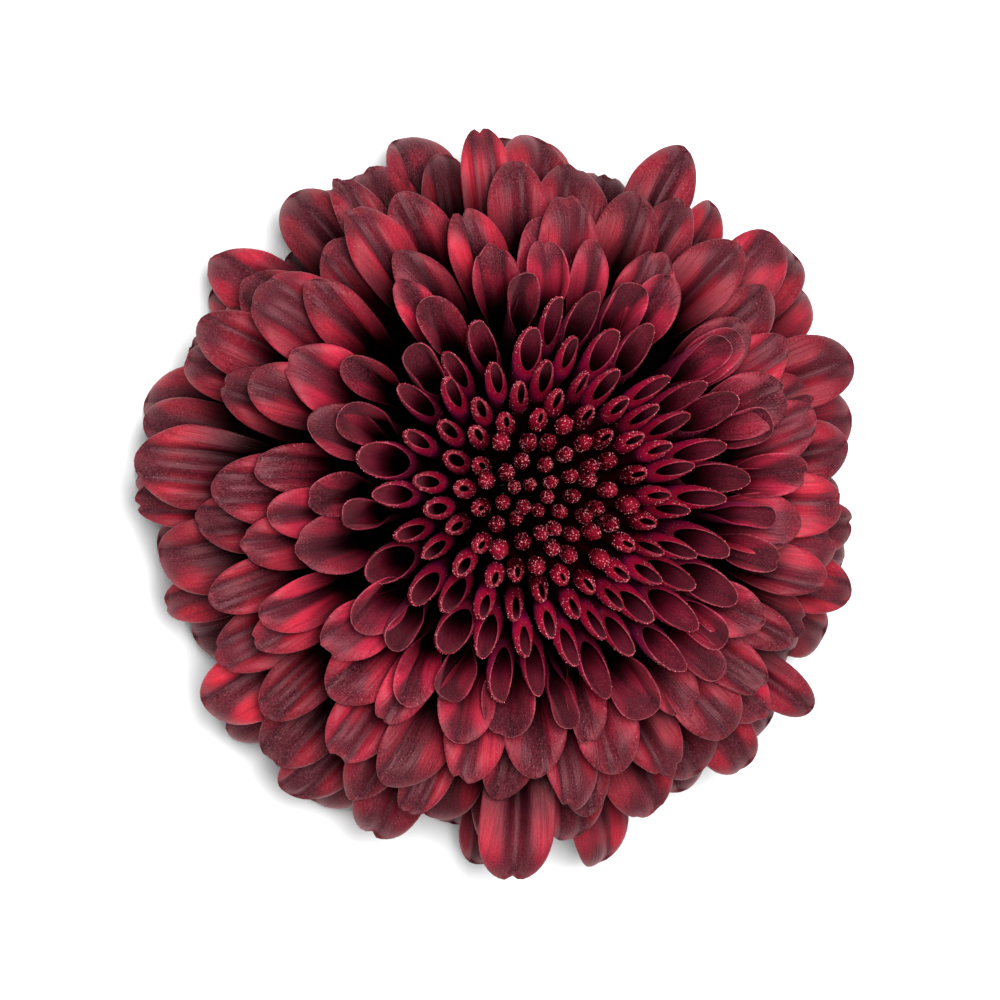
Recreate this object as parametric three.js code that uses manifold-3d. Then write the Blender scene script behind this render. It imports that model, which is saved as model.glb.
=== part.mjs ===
// A dark red ball chrysanthemum: one double flower head, cut just under its calyx and lying on its back
// petals. Millimetres. +Z is the flower's axis and points out of its face. The origin lies on the surface
// that the head rests on, on that axis and under the middle of the outline.

import * as THREE from "three";
import { mergeVertices } from "three/addons/utils/BufferGeometryUtils.js";
import Module from "manifold-3d";

const wasm = await Module();
wasm.setup();

// Driving dimensions of the head.
const HEAD_RADIUS = 50; // from the axis to the furthest petal tip
const HEART_HEIGHT = 18; // the point on the axis that the florets spread from, above the surface
const CENTRE_REACH = 29; // from that point to the tips of the unopened florets in the middle
const FULL_REACH_ANGLE = 84; // degrees from the axis at which the tips reach HEAD_RADIUS
const FLORET_COUNT = 308;
const RESTING_FLORETS = 14; // the last ones, which touch the surface
const CENTRE_FLORETS = 66; // closed buds and rolled quills, counted from the middle outwards
const GOLDEN_ANGLE = Math.PI * (3 - Math.sqrt(5));
const SEED = 21098;

// The receptacle that the florets grow from.
const RECEPTACLE_RADIUS = 9.5;
const RECEPTACLE_RIM_HEIGHT = 14.4;
const RECEPTACLE_DOME = 6.5; // how far its middle stands above its rim

// The calyx and the cut stem.
const STEM_RADIUS = 2.7;
const STEM_END_HEIGHT = 1.2;
const CALYX_HEIGHT = 6.4; // where the stem widens into the calyx
const CALYX_TOP = 12.9;
const CALYX_RADIUS = 10.4;
const BRACTS_PER_ROW = 11;
const BRACT_WIDTH = 4.4;
const BRACT_THICKNESS = 0.8;

const BLADE_THICKNESS = 1.1; // along the middle of a petal, thinning to its edges
const CORE_DEPTH = 18; // how deep the gaps among the petals reach, from their tips inwards
const EXTRA_DEPTH = 7; // how much deeper they reach on the axis
const EXTRA_DEPTH_ANGLE = 60; // degrees from the axis at which that extra depth has run out
const CORE_SIDES = 12;
const CORE_UNDERSIDE = 13.3; // just over the calyx, so that the backs of the last petals show whole
const CENTRE_SEAT = 17; // the underside of the core that the middle has of its own
const CENTRE_CORE_ANGLE = 30; // degrees from the axis at which that core ends
const NODE_GAP = 0.3; // between the middle and the open florets

// How the florets change from the middle of the head outwards, as [floret number, value]. The angles give
// the tip's place and the directions of both ends, in degrees from the axis. A floret is a band of FLAT_WIDTH
// that is rolled up by a number of degrees, narrow in its stalk and, in the middle of the head, in its blade.
// HIDDEN_SHARE is the share of its length at which its solid starts, inside the core.
const TIP_ANGLE = [[40, 19.5], [66, 28.5], [100, 37.5], [140, 49.5], [185, 62], [242, 83], [308, 113]];
const START_ANGLE = [[0, 0], [40, 10], [66, 18], [100, 26], [140, 37], [185, 48], [242, 66], [308, 93]];
const END_ANGLE = [[0, 3], [40, 16], [66, 24], [100, 37], [140, 53], [185, 74], [242, 105], [308, 133]];
const FLAT_WIDTH = [[0, 5.6], [40, 6.8], [66, 7.6], [100, 8.6], [140, 10], [185, 11], [242, 11], [308, 10]];
const ROLL_AT_ROOT = [[0, 340], [66, 330], [100, 300], [140, 230], [185, 170], [308, 120]];
const ROLL_AT_TIP = [[0, 335], [40, 320], [66, 260], [100, 175], [140, 130], [185, 100], [308, 62]];
const STALK_WIDTH = [[0, 0.6], [66, 0.48], [140, 0.36], [308, 0.36]];
const BLADE_WIDTH = [[66, 0.72], [100, 0.86], [140, 1]];
const HIDDEN_SHARE = [[0, 0], [66, 0.22], [100, 0.4], [242, 0.44], [262, 0.3], [276, 0.06]];

const PETAL_RED = 0x7a1626;
const CENTRE_CRIMSON = 0x8f1238;
const CALYX_GREEN = 0x5f7a3a;

const UP = new THREE.Vector3(0, 0, 1);
const radians = THREE.MathUtils.degToRad;

/** The value at x of straight lines through points [x, value] with x rising. */
function along(points, x) {
  const after = points.findIndex((point) => point[0] >= x);
  if (after === 0) return points[0][1];
  if (after < 0) return points[points.length - 1][1];
  const [x0, y0] = points[after - 1];
  const [x1, y1] = points[after];
  return y0 + ((y1 - y0) * (x - x0)) / (x1 - x0);
}

/** A function that draws repeatable numbers from -1 to 1. */
function seededDraw(seed) {
  let state = seed;
  return () => {
    state = (state * 16807) % 2147483647;
    return (2 * state) / 2147483647 - 1;
  };
}

/** The angle of a floret's tip from the axis, in degrees, spreading evenly over the middle. */
function tipAngle(number) {
  const [first, angle] = TIP_ANGLE[0];
  return number < first ? angle * Math.sqrt(number / first) : along(TIP_ANGLE, number);
}

/** How far the tips stand from the heart at an angle from the axis. */
function reachAt(angle) {
  const x = Math.min(angle / FULL_REACH_ANGLE, 1);
  return CENTRE_REACH + (HEAD_RADIUS - CENTRE_REACH) * x * x * (3 - 2 * x);
}

/** The direction in the plane of the axis and +X at an angle from the axis. */
function directionAt(angle) {
  return new THREE.Vector3(Math.sin(radians(angle)), 0, Math.cos(radians(angle)));
}

/** A point of that plane at an angle from the axis and a distance from the heart. */
function pointAt(angle, distance) {
  return directionAt(angle).multiplyScalar(distance).addScaledVector(UP, HEART_HEIGHT);
}

/** One floret's place and form, with its own small departures from the rule. */
function floretAt(index, draw) {
  const number = index + 0.5;
  const share = number / FLORET_COUNT;
  const [turnDraw, angleDraw, reachDraw, rollDraw, swayDraw, widthDraw] = Array.from({ length: 6 }, draw);
  const open = THREE.MathUtils.smoothstep(number, 30, 140);
  const angle = tipAngle(number) + angleDraw * (0.8 + 1.4 * open);
  const rootHeight = RECEPTACLE_RIM_HEIGHT + RECEPTACLE_DOME * (1 - share);
  const root = new THREE.Vector3(RECEPTACLE_RADIUS * Math.sqrt(share), 0, rootHeight);
  const tip = pointAt(angle, reachAt(angle) * (1 + (0.015 + 0.02 * open) * reachDraw));
  tip.y = swayDraw * (0.5 + 1.3 * open);
  const handle = root.distanceTo(tip) / 3;
  const afterRoot = root.clone().addScaledVector(directionAt(along(START_ANGLE, number)), handle);
  const beforeTip = tip.clone().addScaledVector(directionAt(along(END_ANGLE, number)), -handle);
  const openKind = number > 140 && index % 2 === 0 ? "notched" : "pointed";
  return {
    number,
    kind: index < CENTRE_FLORETS ? "rolled" : openKind,
    azimuth: index * GOLDEN_ANGLE + radians(turnDraw * 2.2),
    spine: new THREE.CubicBezierCurve3(root, afterRoot, beforeTip, tip),
    roll: radians(rollDraw * (4 + 9 * open)),
    width: along(FLAT_WIDTH, number) * (1 + 0.07 * widthDraw),
    lift: 0,
  };
}

/** The four corners of a floret's section: left edge, back, right edge and front, moved out by a margin. */
function sectionOf(floret, share, widthShare, margin = 0, edgeShare = share) {
  const roll = THREE.MathUtils.lerp(
    along(ROLL_AT_ROOT, floret.number),
    along(ROLL_AT_TIP, floret.number),
    THREE.MathUtils.smoothstep(share, 0.35, 0.85),
  );
  const arc = radians(roll);
  const radius = (floret.width * widthShare) / arc;
  const half = Math.min(arc / 2, Math.PI / 2);
  const across = radius * Math.sin(half) + margin;
  const rise = radius * (1 - Math.cos(half));
  const closed = Math.max(0, arc / Math.PI - 1);
  const front = THREE.MathUtils.lerp(BLADE_THICKNESS, 2 * radius, closed) + margin;
  const corner = (at, sideways, inwards) => {
    const tangent = floret.spine.getTangent(at);
    const side = new THREE.Vector3(0, 1, 0).addScaledVector(tangent, -tangent.y).normalize();
    const inward = tangent.clone().cross(side);
    side.applyAxisAngle(tangent, floret.roll);
    inward.applyAxisAngle(tangent, floret.roll);
    const point = floret.spine.getPoint(at).addScaledVector(side, sideways).addScaledVector(inward, inwards);
    point.z += floret.lift * at * at;
    return point.applyAxisAngle(UP, floret.azimuth);
  };
  return [
    corner(edgeShare, -across, rise),
    corner(share, 0, -margin),
    corner(edgeShare, across, rise),
    corner(share, 0, front),
  ];
}

/** The sections of a floret from its sunk narrow root to its blunt, pointed or notched end. */
function sectionsOf(floret, margin = 0) {
  const { number, kind } = floret;
  const start = along(HIDDEN_SHARE, number);
  const root = sectionOf(floret, start, along(STALK_WIDTH, number), margin);
  if (kind === "rolled") {
    const end = sectionOf(floret, 1, 0.7, margin);
    return [root, sectionOf(floret, 0.88, 1, margin), end];
  }
  const middles = start < 0.3 ? [0.42, 0.74] : [start + 0.58 * (1 - start)];
  const blade = middles.map((share) => sectionOf(floret, share, along(BLADE_WIDTH, number), margin));
  blade.push(sectionOf(floret, 0.9, 0.86, margin));
  if (kind === "notched") return [root, ...blade, sectionOf(floret, 0.955, 0.42, margin, 0.99)];
  const last = sectionOf(floret, 1, 0.2);
  const outwards = floret.spine.getTangent(1).applyAxisAngle(UP, floret.azimuth);
  const point = last[1].clone().lerp(last[3], 0.5).addScaledVector(outwards, margin);
  return [root, ...blade, [point]];
}

/** A solid from the coordinates of its points and the faces between them. */
function solidOf(coordinates, faces) {
  const vertProperties = new Float32Array(coordinates);
  return new wasm.Manifold(new wasm.Mesh({ numProp: 3, vertProperties, triVerts: new Uint32Array(faces) }));
}

/** A closed solid skinned over sections of four corners, ending in a point or in one more section. */
function skin(sections) {
  const points = sections.flat();
  const faces = [0, 2, 1, 0, 3, 2];
  for (let ring = 0; ring + 1 < sections.length; ring += 1) {
    const here = ring * 4;
    const next = here + 4;
    for (let side = 0; side < 4; side += 1) {
      const other = (side + 1) % 4;
      if (sections[ring + 1].length === 1) faces.push(here + side, here + other, next);
      else faces.push(here + side, here + other, next + other, here + side, next + other, next + side);
    }
  }
  const last = sections[sections.length - 1];
  const base = points.length - 4;
  if (last.length === 4) faces.push(base, base + 1, base + 2, base, base + 2, base + 3);
  return solidOf(points.flatMap((point) => point.toArray()), faces);
}

/** Joins solids into one body. Sealed hollows are filled and loose scraps are dropped. */
function fuse(solids) {
  const bodies = wasm.Manifold.union(solids).decompose();
  return bodies.reduce((largest, body) => (body.volume() > largest.volume() ? body : largest));
}

/** A turned solid from [radius, height] points that start and end on the axis, from the bottom up. */
function turned(profile, firstTurn = 0) {
  const points = profile.map(([radius, height]) => new THREE.Vector2(radius, height));
  const lathe = new THREE.LatheGeometry(points, CORE_SIDES, firstTurn);
  lathe.rotateX(Math.PI / 2);
  lathe.deleteAttribute("normal");
  lathe.deleteAttribute("uv");
  const closed = mergeVertices(lathe, 1e-4);
  return solidOf(closed.attributes.position.array, closed.index.array);
}

/** A named mesh of a solid. */
function meshOf(name, solid, color, roughness) {
  const { vertProperties, triVerts } = solid.getMesh();
  const geometry = new THREE.BufferGeometry();
  geometry.setAttribute("position", new THREE.BufferAttribute(vertProperties, 3));
  geometry.setIndex(new THREE.BufferAttribute(triVerts, 1));
  geometry.computeVertexNormals();
  const mesh = new THREE.Mesh(geometry, new THREE.MeshStandardMaterial({ color, roughness, metalness: 0 }));
  mesh.name = name;
  return mesh;
}

/** Lifts a floret's far end until nothing of it is under the surface, or to touch it where told to. */
function settle(floret, touches) {
  for (let step = 0; step < 6; step += 1) {
    const lowest = sectionsOf(floret).flat().reduce((low, point) => (point.z < low.z ? point : low));
    if (lowest.z >= 0 && !touches) return;
    floret.lift -= lowest.z;
  }
}

/** All florets of the head in order from its middle, the last of them resting on the surface. */
function allFlorets() {
  const draw = seededDraw(SEED);
  const florets = Array.from({ length: FLORET_COUNT }, (_, index) => floretAt(index, draw));
  florets.forEach((floret, index) => settle(floret, index >= FLORET_COUNT - RESTING_FLORETS));
  return florets;
}

/** The profile of a core under the tips, from the axis at its top down to an angle. */
function domeProfile(lastAngle, steps, inset) {
  return Array.from({ length: steps + 1 }, (_, step) => {
    const angle = (lastAngle * step) / steps;
    const extraDepth = EXTRA_DEPTH * (1 - THREE.MathUtils.smoothstep(angle, 0, EXTRA_DEPTH_ANGLE));
    const point = pointAt(angle, reachAt(angle) - CORE_DEPTH - extraDepth - inset);
    return [step === 0 ? 0 : point.x, point.z];
  });
}

/** The rolled florets of the middle on their own cap, grown on all sides by a margin. */
function centreBody(florets, margin) {
  const cap = domeProfile(CENTRE_CORE_ANGLE, 3, -margin).reverse();
  const [rimRadius] = cap[0];
  const seat = CENTRE_SEAT - margin;
  const core = turned([[0, seat], [rimRadius * 0.72, seat], ...cap], Math.PI / CORE_SIDES);
  return fuse([core, ...florets.map((floret) => skin(sectionsOf(floret, margin)))]);
}

/** The open florets on their core, with a bed cut out for the middle of the head. */
function rayBody(florets, bed) {
  const dome = domeProfile(95, 5, 0).reverse();
  const core = turned([[0, CORE_UNDERSIDE], [CALYX_RADIUS, CORE_UNDERSIDE], ...dome]);
  return fuse([fuse([core, ...florets.map((floret) => skin(sectionsOf(floret)))]).subtract(bed)]);
}

/** One bract, lying along the calyx from its foot to its free tip. */
function bract(turn, reach, top) {
  const spine = new THREE.QuadraticBezierCurve3(
    new THREE.Vector3(STEM_RADIUS, 0, CALYX_HEIGHT - 0.5),
    new THREE.Vector3(reach * 0.8, 0, CALYX_HEIGHT + 0.4),
    new THREE.Vector3(reach, 0, top),
  );
  const sections = [[0.1, 0.7], [0.7, 1]].map(([share, widthShare]) => {
    const tangent = spine.getTangent(share);
    const inward = new THREE.Vector3(-tangent.z, 0, tangent.x);
    const middle = spine.getPoint(share);
    const across = (BRACT_WIDTH * widthShare) / 2;
    const edge = middle.clone().addScaledVector(inward, 0.45);
    const corners = [
      edge.clone().setY(-across),
      middle.clone().addScaledVector(inward, -BRACT_THICKNESS / 2),
      edge.clone().setY(across),
      middle.clone().addScaledVector(inward, BRACT_THICKNESS / 2),
    ];
    return corners.map((corner) => corner.applyAxisAngle(UP, turn));
  });
  sections.push([spine.getPoint(1).applyAxisAngle(UP, turn)]);
  return skin(sections);
}

/** The green calyx with its bracts in two rows, and the cut end of the stem. */
function calyxBody() {
  const cup = turned([
    [0, STEM_END_HEIGHT],
    [STEM_RADIUS, STEM_END_HEIGHT],
    [STEM_RADIUS, CALYX_HEIGHT - 0.9],
    [STEM_RADIUS + 1, CALYX_HEIGHT],
    [CALYX_RADIUS * 0.66, CALYX_HEIGHT + 1],
    [CALYX_RADIUS * 0.92, CALYX_HEIGHT + 3.2],
    [CALYX_RADIUS, CALYX_TOP],
    [0, CALYX_TOP],
  ]);
  const turnOf = (index) => (2 * Math.PI * (index + 0.15)) / BRACTS_PER_ROW;
  const rows = Array.from({ length: BRACTS_PER_ROW }, (_, index) => [
    bract(turnOf(index), CALYX_RADIUS + 2.6, CALYX_TOP - 0.2),
    bract(turnOf(index + 0.5), CALYX_RADIUS + 0.6, CALYX_TOP - 2),
  ]);
  return fuse([cup, ...rows.flat()]);
}

const florets = allFlorets();
const middle = florets.slice(0, CENTRE_FLORETS);
const bodies = [
  meshOf("ray_florets", rayBody(florets.slice(CENTRE_FLORETS), centreBody(middle, NODE_GAP)), PETAL_RED, 0.6),
  meshOf("centre_florets", centreBody(middle, 0), CENTRE_CRIMSON, 0.65),
  meshOf("calyx_and_stem", calyxBody(), CALYX_GREEN, 0.7),
];
const head = new THREE.Group();
head.name = "ball_chrysanthemum";
head.add(...bodies);

export default head;
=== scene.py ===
"""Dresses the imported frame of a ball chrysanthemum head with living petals, a calyx, light and a camera.

The growing rules work in millimetres and the meshes are in metres. +Z is the flower's axis.
"""

import logging
import math
from collections.abc import Sequence
from dataclasses import dataclass, field
from enum import Enum

import bpy
import numpy as np
from mathutils import Matrix, Vector


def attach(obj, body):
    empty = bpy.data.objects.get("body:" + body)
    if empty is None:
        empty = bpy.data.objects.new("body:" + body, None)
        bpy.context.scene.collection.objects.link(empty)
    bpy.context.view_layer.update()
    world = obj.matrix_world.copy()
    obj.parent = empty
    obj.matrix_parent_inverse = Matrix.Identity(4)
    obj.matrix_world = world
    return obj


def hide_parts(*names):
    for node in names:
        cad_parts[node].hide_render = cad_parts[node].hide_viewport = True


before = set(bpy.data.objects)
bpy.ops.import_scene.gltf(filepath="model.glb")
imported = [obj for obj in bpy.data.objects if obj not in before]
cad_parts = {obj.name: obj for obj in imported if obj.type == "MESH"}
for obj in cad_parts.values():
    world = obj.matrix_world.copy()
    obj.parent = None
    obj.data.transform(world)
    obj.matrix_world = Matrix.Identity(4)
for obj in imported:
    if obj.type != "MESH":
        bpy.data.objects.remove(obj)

LOG = logging.getLogger("chrysanthemum")
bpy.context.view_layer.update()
MM = 0.001
FULL_TURN = 2 * math.pi
GOLDEN_ANGLE = math.pi * (3 - math.sqrt(5))
DRAWS_PER_FLORET = 6
FAR_FROM_EDGE = 3.0

Colour = tuple[float, float, float]


def blend_step(low: float, high: float, value: np.ndarray | float) -> np.ndarray:
    """Rise smoothly from 0 to 1 between two values.

    Args:
        low: Where the rise starts.
        high: Where it ends.
        value: The values to place on the rise.

    Returns:
        The heights on the rise, shaped like the values.
    """
    share = np.clip((np.asarray(value, dtype=float) - low) / (high - low), 0.0, 1.0)
    return share * share * (3 - 2 * share)


@dataclass(frozen=True)
class Profile:
    """A value that changes in straight lines between knots."""

    knots: tuple[tuple[float, float], ...]

    def at(self, x: float) -> float:
        """Return the value at x."""
        return float(np.interp(x, [knot[0] for knot in self.knots], [knot[1] for knot in self.knots]))


class FloretKind(Enum):
    """How far a floret has opened."""

    BUD = "closed bud"
    QUILL = "rolled quill"
    SPOON = "slender spoon"
    BLADE = "broad petal"


@dataclass
class Draw:
    """Draws repeatable numbers from -1 to 1, the same ones as the solids were grown with."""

    state: int
    factor: int = 16807
    modulus: int = 2147483647

    def __call__(self) -> float:
        """Return the next number."""
        self.state = self.state * self.factor % self.modulus
        return 2 * self.state / self.modulus - 1


@dataclass(frozen=True)
class Traits:
    """The small features that tell one petal from the next.

    Args:
        chance: A number from 0 to 1 that varies the colour.
        creases: Where creases run down the inner face, from -1 at its left edge to 1 at its right.
        crease_depth: Their depth in mm.
        lobe: How far the face bulges between its creases and edges, in mm.
        notches: Where the tip is notched, from -1 at its left to 1 at its right.
        notch_depth: How deep, in mm.
        roundness: The exponent of the tip's outline: 2 is an ellipse, less is more pointed.
        breadth: How broad it is, compared with others of its age.
        hood: How far the tip curls towards the inner face, in mm.
        sickle: How far the tip bends sideways, in mm.
        wave: The height of the waves along the edges, in mm.
        phase: Where those waves start, in radians.
        reach: How much further it reaches than its neighbours, as a share of its distance.
    """

    chance: float
    creases: tuple[float, ...] = ()
    crease_depth: float = 0.0
    lobe: float = 0.0
    notches: tuple[float, ...] = ()
    notch_depth: float = 0.0
    roundness: float = 2.0
    breadth: float = 1.0
    hood: float = 0.0
    sickle: float = 0.0
    wave: float = 0.0
    phase: float = 0.0
    reach: float = 0.0


@dataclass
class Sheet:
    """A thin living sheet that follows a spine, as petals and bracts do.

    Args:
        spine: Four control points of its spine, in mm, before it turns round the axis.
        azimuth: That turn, in radians.
        twist: The turn of the sheet round its own spine, in radians.
        flat_width: Its greatest width when flattened, in mm.
        age: 0 in the middle of the head and 1 at its back.
        traits: Its small features.
        lift: How far its tip is bent upwards, in mm.
        steps: How many points its length is measured over.
        crowding: How strongly the rows of its grid crowd towards the tip, as an exponent.
        seam: The share of its length over which its grown-together edges part.
        closed_edge: What is added to the distance from the edge where they are grown together, in mm.
    """

    spine: np.ndarray
    azimuth: float
    twist: float
    flat_width: float
    age: float
    traits: Traits
    lift: float = 0.0
    steps: int = 24
    crowding: float = 1.5
    seam: float = 0.04
    closed_edge: float = 4.0

    @property
    def mouth(self) -> float:
        """Return the share of the length below which both edges are grown together."""
        return -1.0

    @property
    def length(self) -> float:
        """Return the length of the spine in mm."""
        points, _ = self.along_spine(np.linspace(0, 1, self.steps))
        return float(np.linalg.norm(np.diff(points, axis=0), axis=1).sum())

    def along_spine(self, share: np.ndarray) -> tuple[np.ndarray, np.ndarray]:
        """Follow the spine.

        Args:
            share: Shares of the way along it.

        Returns:
            The points there and the unit directions along the spine.
        """
        t = share[..., None]
        a, b, c, d = self.spine
        points = (1 - t) ** 3 * a + 3 * (1 - t) ** 2 * t * b + 3 * (1 - t) * t**2 * c + t**3 * d
        along = (1 - t) ** 2 * (b - a) + 2 * (1 - t) * t * (c - b) + t**2 * (d - c)
        return points, along / np.linalg.norm(along, axis=-1, keepdims=True)

    def half_width(self, share: np.ndarray) -> np.ndarray:
        """Return half the flattened width in mm at shares of the length."""
        raise NotImplementedError

    def opening(self, share: np.ndarray) -> np.ndarray:
        """Return the angle in radians through which the sheet is rolled at shares of the length."""
        raise NotImplementedError

    def end_share(self, across: np.ndarray) -> np.ndarray:
        """Return where the sheet ends at places across it from -1 to 1."""
        raise NotImplementedError

    def relief(self, share: np.ndarray, across: np.ndarray) -> np.ndarray:
        """Return the height in mm of its ridges and grooves over the plain rolled form."""
        raise NotImplementedError

    def curl(self, share: np.ndarray) -> np.ndarray:
        """Return how far in mm the sheet is bent towards its inner face at shares of the length."""
        return np.zeros_like(share)

    def thickness(self, share: np.ndarray, across: np.ndarray) -> np.ndarray:
        """Return its thickness in mm."""
        raise NotImplementedError

    def stations(self, count: int) -> np.ndarray:
        """Choose shares of the length for the rows of a grid, closest at the tip."""
        return 1 - (1 - np.linspace(0, 1, count)) ** self.crowding

    def lines(self, count: int) -> np.ndarray:
        """Choose places across the sheet for the columns of a grid, closest at its edges.

        Args:
            count: How many columns the grid has.

        Returns:
            The places, from -1 to 1, with one on each crease.
        """
        places = np.sin(np.linspace(-1, 1, count) * math.pi / 2)
        for crease in self.traits.creases:
            places[np.abs(places - crease).argmin()] = crease
        return places

    def rim_distance(self, share: np.ndarray, across: np.ndarray) -> np.ndarray:
        """Return how far places are from a free edge, in mm.

        Args:
            share: Shares of the way along it.
            across: Places across it, from -1 to 1.

        Returns:
            The distances in mm.
        """
        fused = self.closed_edge * (1 - blend_step(self.mouth, self.mouth + self.seam, share))
        to_side = (1 - np.abs(across)) * self.half_width(share)
        to_tip = (self.end_share(across) - share) * self.length
        return np.minimum(to_side, to_tip) + fused

    def crease_closeness(self, share: np.ndarray, across: np.ndarray) -> np.ndarray:
        """Return how near places are to a crease, from 0 to 1."""
        return np.zeros_like(share)

    def points(self, share: np.ndarray, across: np.ndarray, off: np.ndarray | float = 0.0) -> np.ndarray:
        """Place points of the sheet.

        Args:
            share: Shares of the way along it.
            across: Places across it, from -1 to 1.
            off: How far each point lies off the middle of the sheet, in mm, towards its inner face.

        Returns:
            The points in mm in the head's frame.
        """
        arc = self.opening(share)
        turn = across * arc / 2
        radius = 2 * self.half_width(share) / arc
        height = self.relief(share, across) + off
        sideways = (radius - height) * np.sin(turn) + self.traits.sickle * share**3
        inwards = radius * (1 - np.cos(turn)) + height * np.cos(turn) + self.curl(share)
        middle, side, inward = self.frame(share)
        return self.turned(middle + side * sideways[..., None] + inward * inwards[..., None], share)

    def frame(self, share: np.ndarray) -> tuple[np.ndarray, np.ndarray, np.ndarray]:
        """Find the spine's points and the directions across it.

        Args:
            share: Shares of the way along it.

        Returns:
            The points, the directions to the right and the directions towards the inner face.
        """
        middle, along = self.along_spine(share)
        side = np.array([0.0, 1.0, 0.0]) - along * along[..., 1:2]
        side /= np.linalg.norm(side, axis=-1, keepdims=True)
        inward = np.cross(along, side)
        cos, sin = math.cos(self.twist), math.sin(self.twist)
        return middle, side * cos + inward * sin, inward * cos - side * sin

    def turned(self, points: np.ndarray, share: np.ndarray | float = 0.0) -> np.ndarray:
        """Lift points by the sheet's bend and turn them round the axis to its place.

        Args:
            points: The points.
            share: Their shares of the way along the spine.

        Returns:
            The points in the head's frame.
        """
        cos, sin = math.cos(self.azimuth), math.sin(self.azimuth)
        x, y, z = np.moveaxis(points, -1, 0)
        return np.stack([x * cos - y * sin, x * sin + y * cos, z + self.lift * share**2], axis=-1)


@dataclass
class Floret(Sheet):
    """One floret of the head, open from its mouth to its tip.

    Args:
        number: Its number in the spiral, from the middle outwards.
        stalk_width: The width of its foot, as a share of its greatest width.
        root_roll: How far its foot is rolled, in degrees.
        tip_roll: How far its tip is rolled, in degrees.
        open_length: How far below its tip the roll begins to open, in mm.
        opening_share: How much of that length it takes to open.
        tip_share: How much of its length the rounded tip takes.
        lip: How far its edges curl in, in mm.
        hood_length: How much of its tip curls, in mm.
        dome_reach: How far in from its edges the dome of its face is rounded, in mm.
        taper: How much narrower it is at its tip, as a share of its width.
        taper_start: The share of its length at which it begins to narrow.
        notch_width: The half width of a notch, on the scale across it from -1 to 1.
        crease_width: How far the sharp bottom of a crease reaches to each side, in mm.
        valley_width: How far the soft valley round a crease reaches to each side, in mm.
        valley_share: The depth of that valley, as a share of the bulge of the face.
        lip_width: How far in from the edge the lip begins to curl, in mm.
        body: The thickness of its fleshy middle, in mm.
    """

    number: float = 0.0
    stalk_width: float = 0.4
    root_roll: float = 300.0
    tip_roll: float = 100.0
    open_length: float = 15.0
    opening_share: float = 0.8
    tip_share: float = 0.15
    lip: float = 0.2
    hood_length: float = 6.0
    dome_reach: float = 3.0
    taper: float = 0.16
    taper_start: float = 0.7
    notch_width: float = 0.13
    crease_width: float = 0.4
    valley_width: float = 1.3
    valley_share: float = 0.85
    lip_width: float = 0.75
    body: float = 0.42

    @property
    def mouth(self) -> float:
        """Return the share of its length at which the roll begins to open."""
        return max(1 - self.open_length / self.length, 0.2)

    @property
    def spread(self) -> float:
        """Return the share of its length at which the blade has spread, half way from mouth to tip."""
        return self.mouth + 0.5 * (1 - self.mouth)

    def half_width(self, share: np.ndarray) -> np.ndarray:
        """Widen from the stalk to the blade.

        Args:
            share: Shares of the way along it.

        Returns:
            Half the flattened width, in mm.
        """
        grown = blend_step(self.mouth - 0.3, self.spread, share)
        narrowed = np.clip((share - self.taper_start) / (1 - self.taper_start), 0.0, 1.0)
        taper = 1 - self.taper * narrowed**2
        breadth = self.flat_width * self.traits.breadth
        return breadth / 2 * (self.stalk_width + (1 - self.stalk_width) * grown) * taper

    def opening(self, share: np.ndarray) -> np.ndarray:
        """Open from the rolled stalk to the tip."""
        opened = blend_step(self.mouth, self.mouth + self.opening_share * (1 - self.mouth), share)
        return np.radians(self.root_roll + (self.tip_roll - self.root_roll) * opened)

    def end_share(self, across: np.ndarray) -> np.ndarray:
        """Round the tip and cut its notches.

        Args:
            across: Places across it, from -1 to 1.

        Returns:
            The shares of the length at which it ends.
        """
        power = self.traits.roundness
        rounded = (1 - np.abs(across * 0.998) ** power) ** (1 / power)
        end = 1 - self.tip_share * (1 - rounded)
        for notch in self.traits.notches:
            cut = np.exp(-(((across - notch) / self.notch_width) ** 2))
            end -= self.traits.notch_depth / self.length * cut
        return end

    def edge_distance(self, share: np.ndarray, across: np.ndarray) -> np.ndarray:
        """Return roughly how far places are from the sheet's edge, in mm.

        Args:
            share: Shares of the way along it.
            across: Places across it, from -1 to 1.

        Returns:
            The distances in mm, rounded off in the corners.
        """
        to_side = (1 - np.abs(across)) * self.half_width(share)
        to_tip = np.maximum(self.end_share(across) - share, 0) * self.length
        return to_side * to_tip / np.maximum(np.hypot(to_side, to_tip), 1e-6)

    def off_crease(self, crease: float, share: np.ndarray, across: np.ndarray) -> np.ndarray:
        """Return how far places are from a crease, in mm."""
        return np.abs(across - crease) * self.half_width(share)

    def relief(self, share: np.ndarray, across: np.ndarray) -> np.ndarray:
        """Shape the domed face and its creases, the waves and the incurved lip.

        Args:
            share: Shares of the way along it.
            across: Places across it, from -1 to 1.

        Returns:
            The height over the plain rolled form, in mm.
        """
        traits = self.traits
        reach = blend_step(self.mouth, self.spread, share)
        inside = np.clip(self.edge_distance(share, across) / self.dome_reach, 0.0, 1.0)
        folds = traits.lobe * (1 - (1 - inside) ** 2)
        for crease in traits.creases:
            off = self.off_crease(crease, share, across)
            valley = self.valley_share * traits.lobe * np.exp(-((off / self.valley_width) ** 2))
            folds -= (valley + traits.crease_depth * np.exp(-off / self.crease_width)) * inside**0.5
        waves = traits.wave * np.sin(traits.phase + 15 * share + 2.5 * across) * np.abs(across) ** 3
        lip = np.minimum(self.lip, 0.8 * self.half_width(share) / self.opening(share))
        incurved = lip * np.exp(-((self.edge_distance(share, across) / self.lip_width) ** 2))
        return (folds + waves + incurved) * reach

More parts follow.
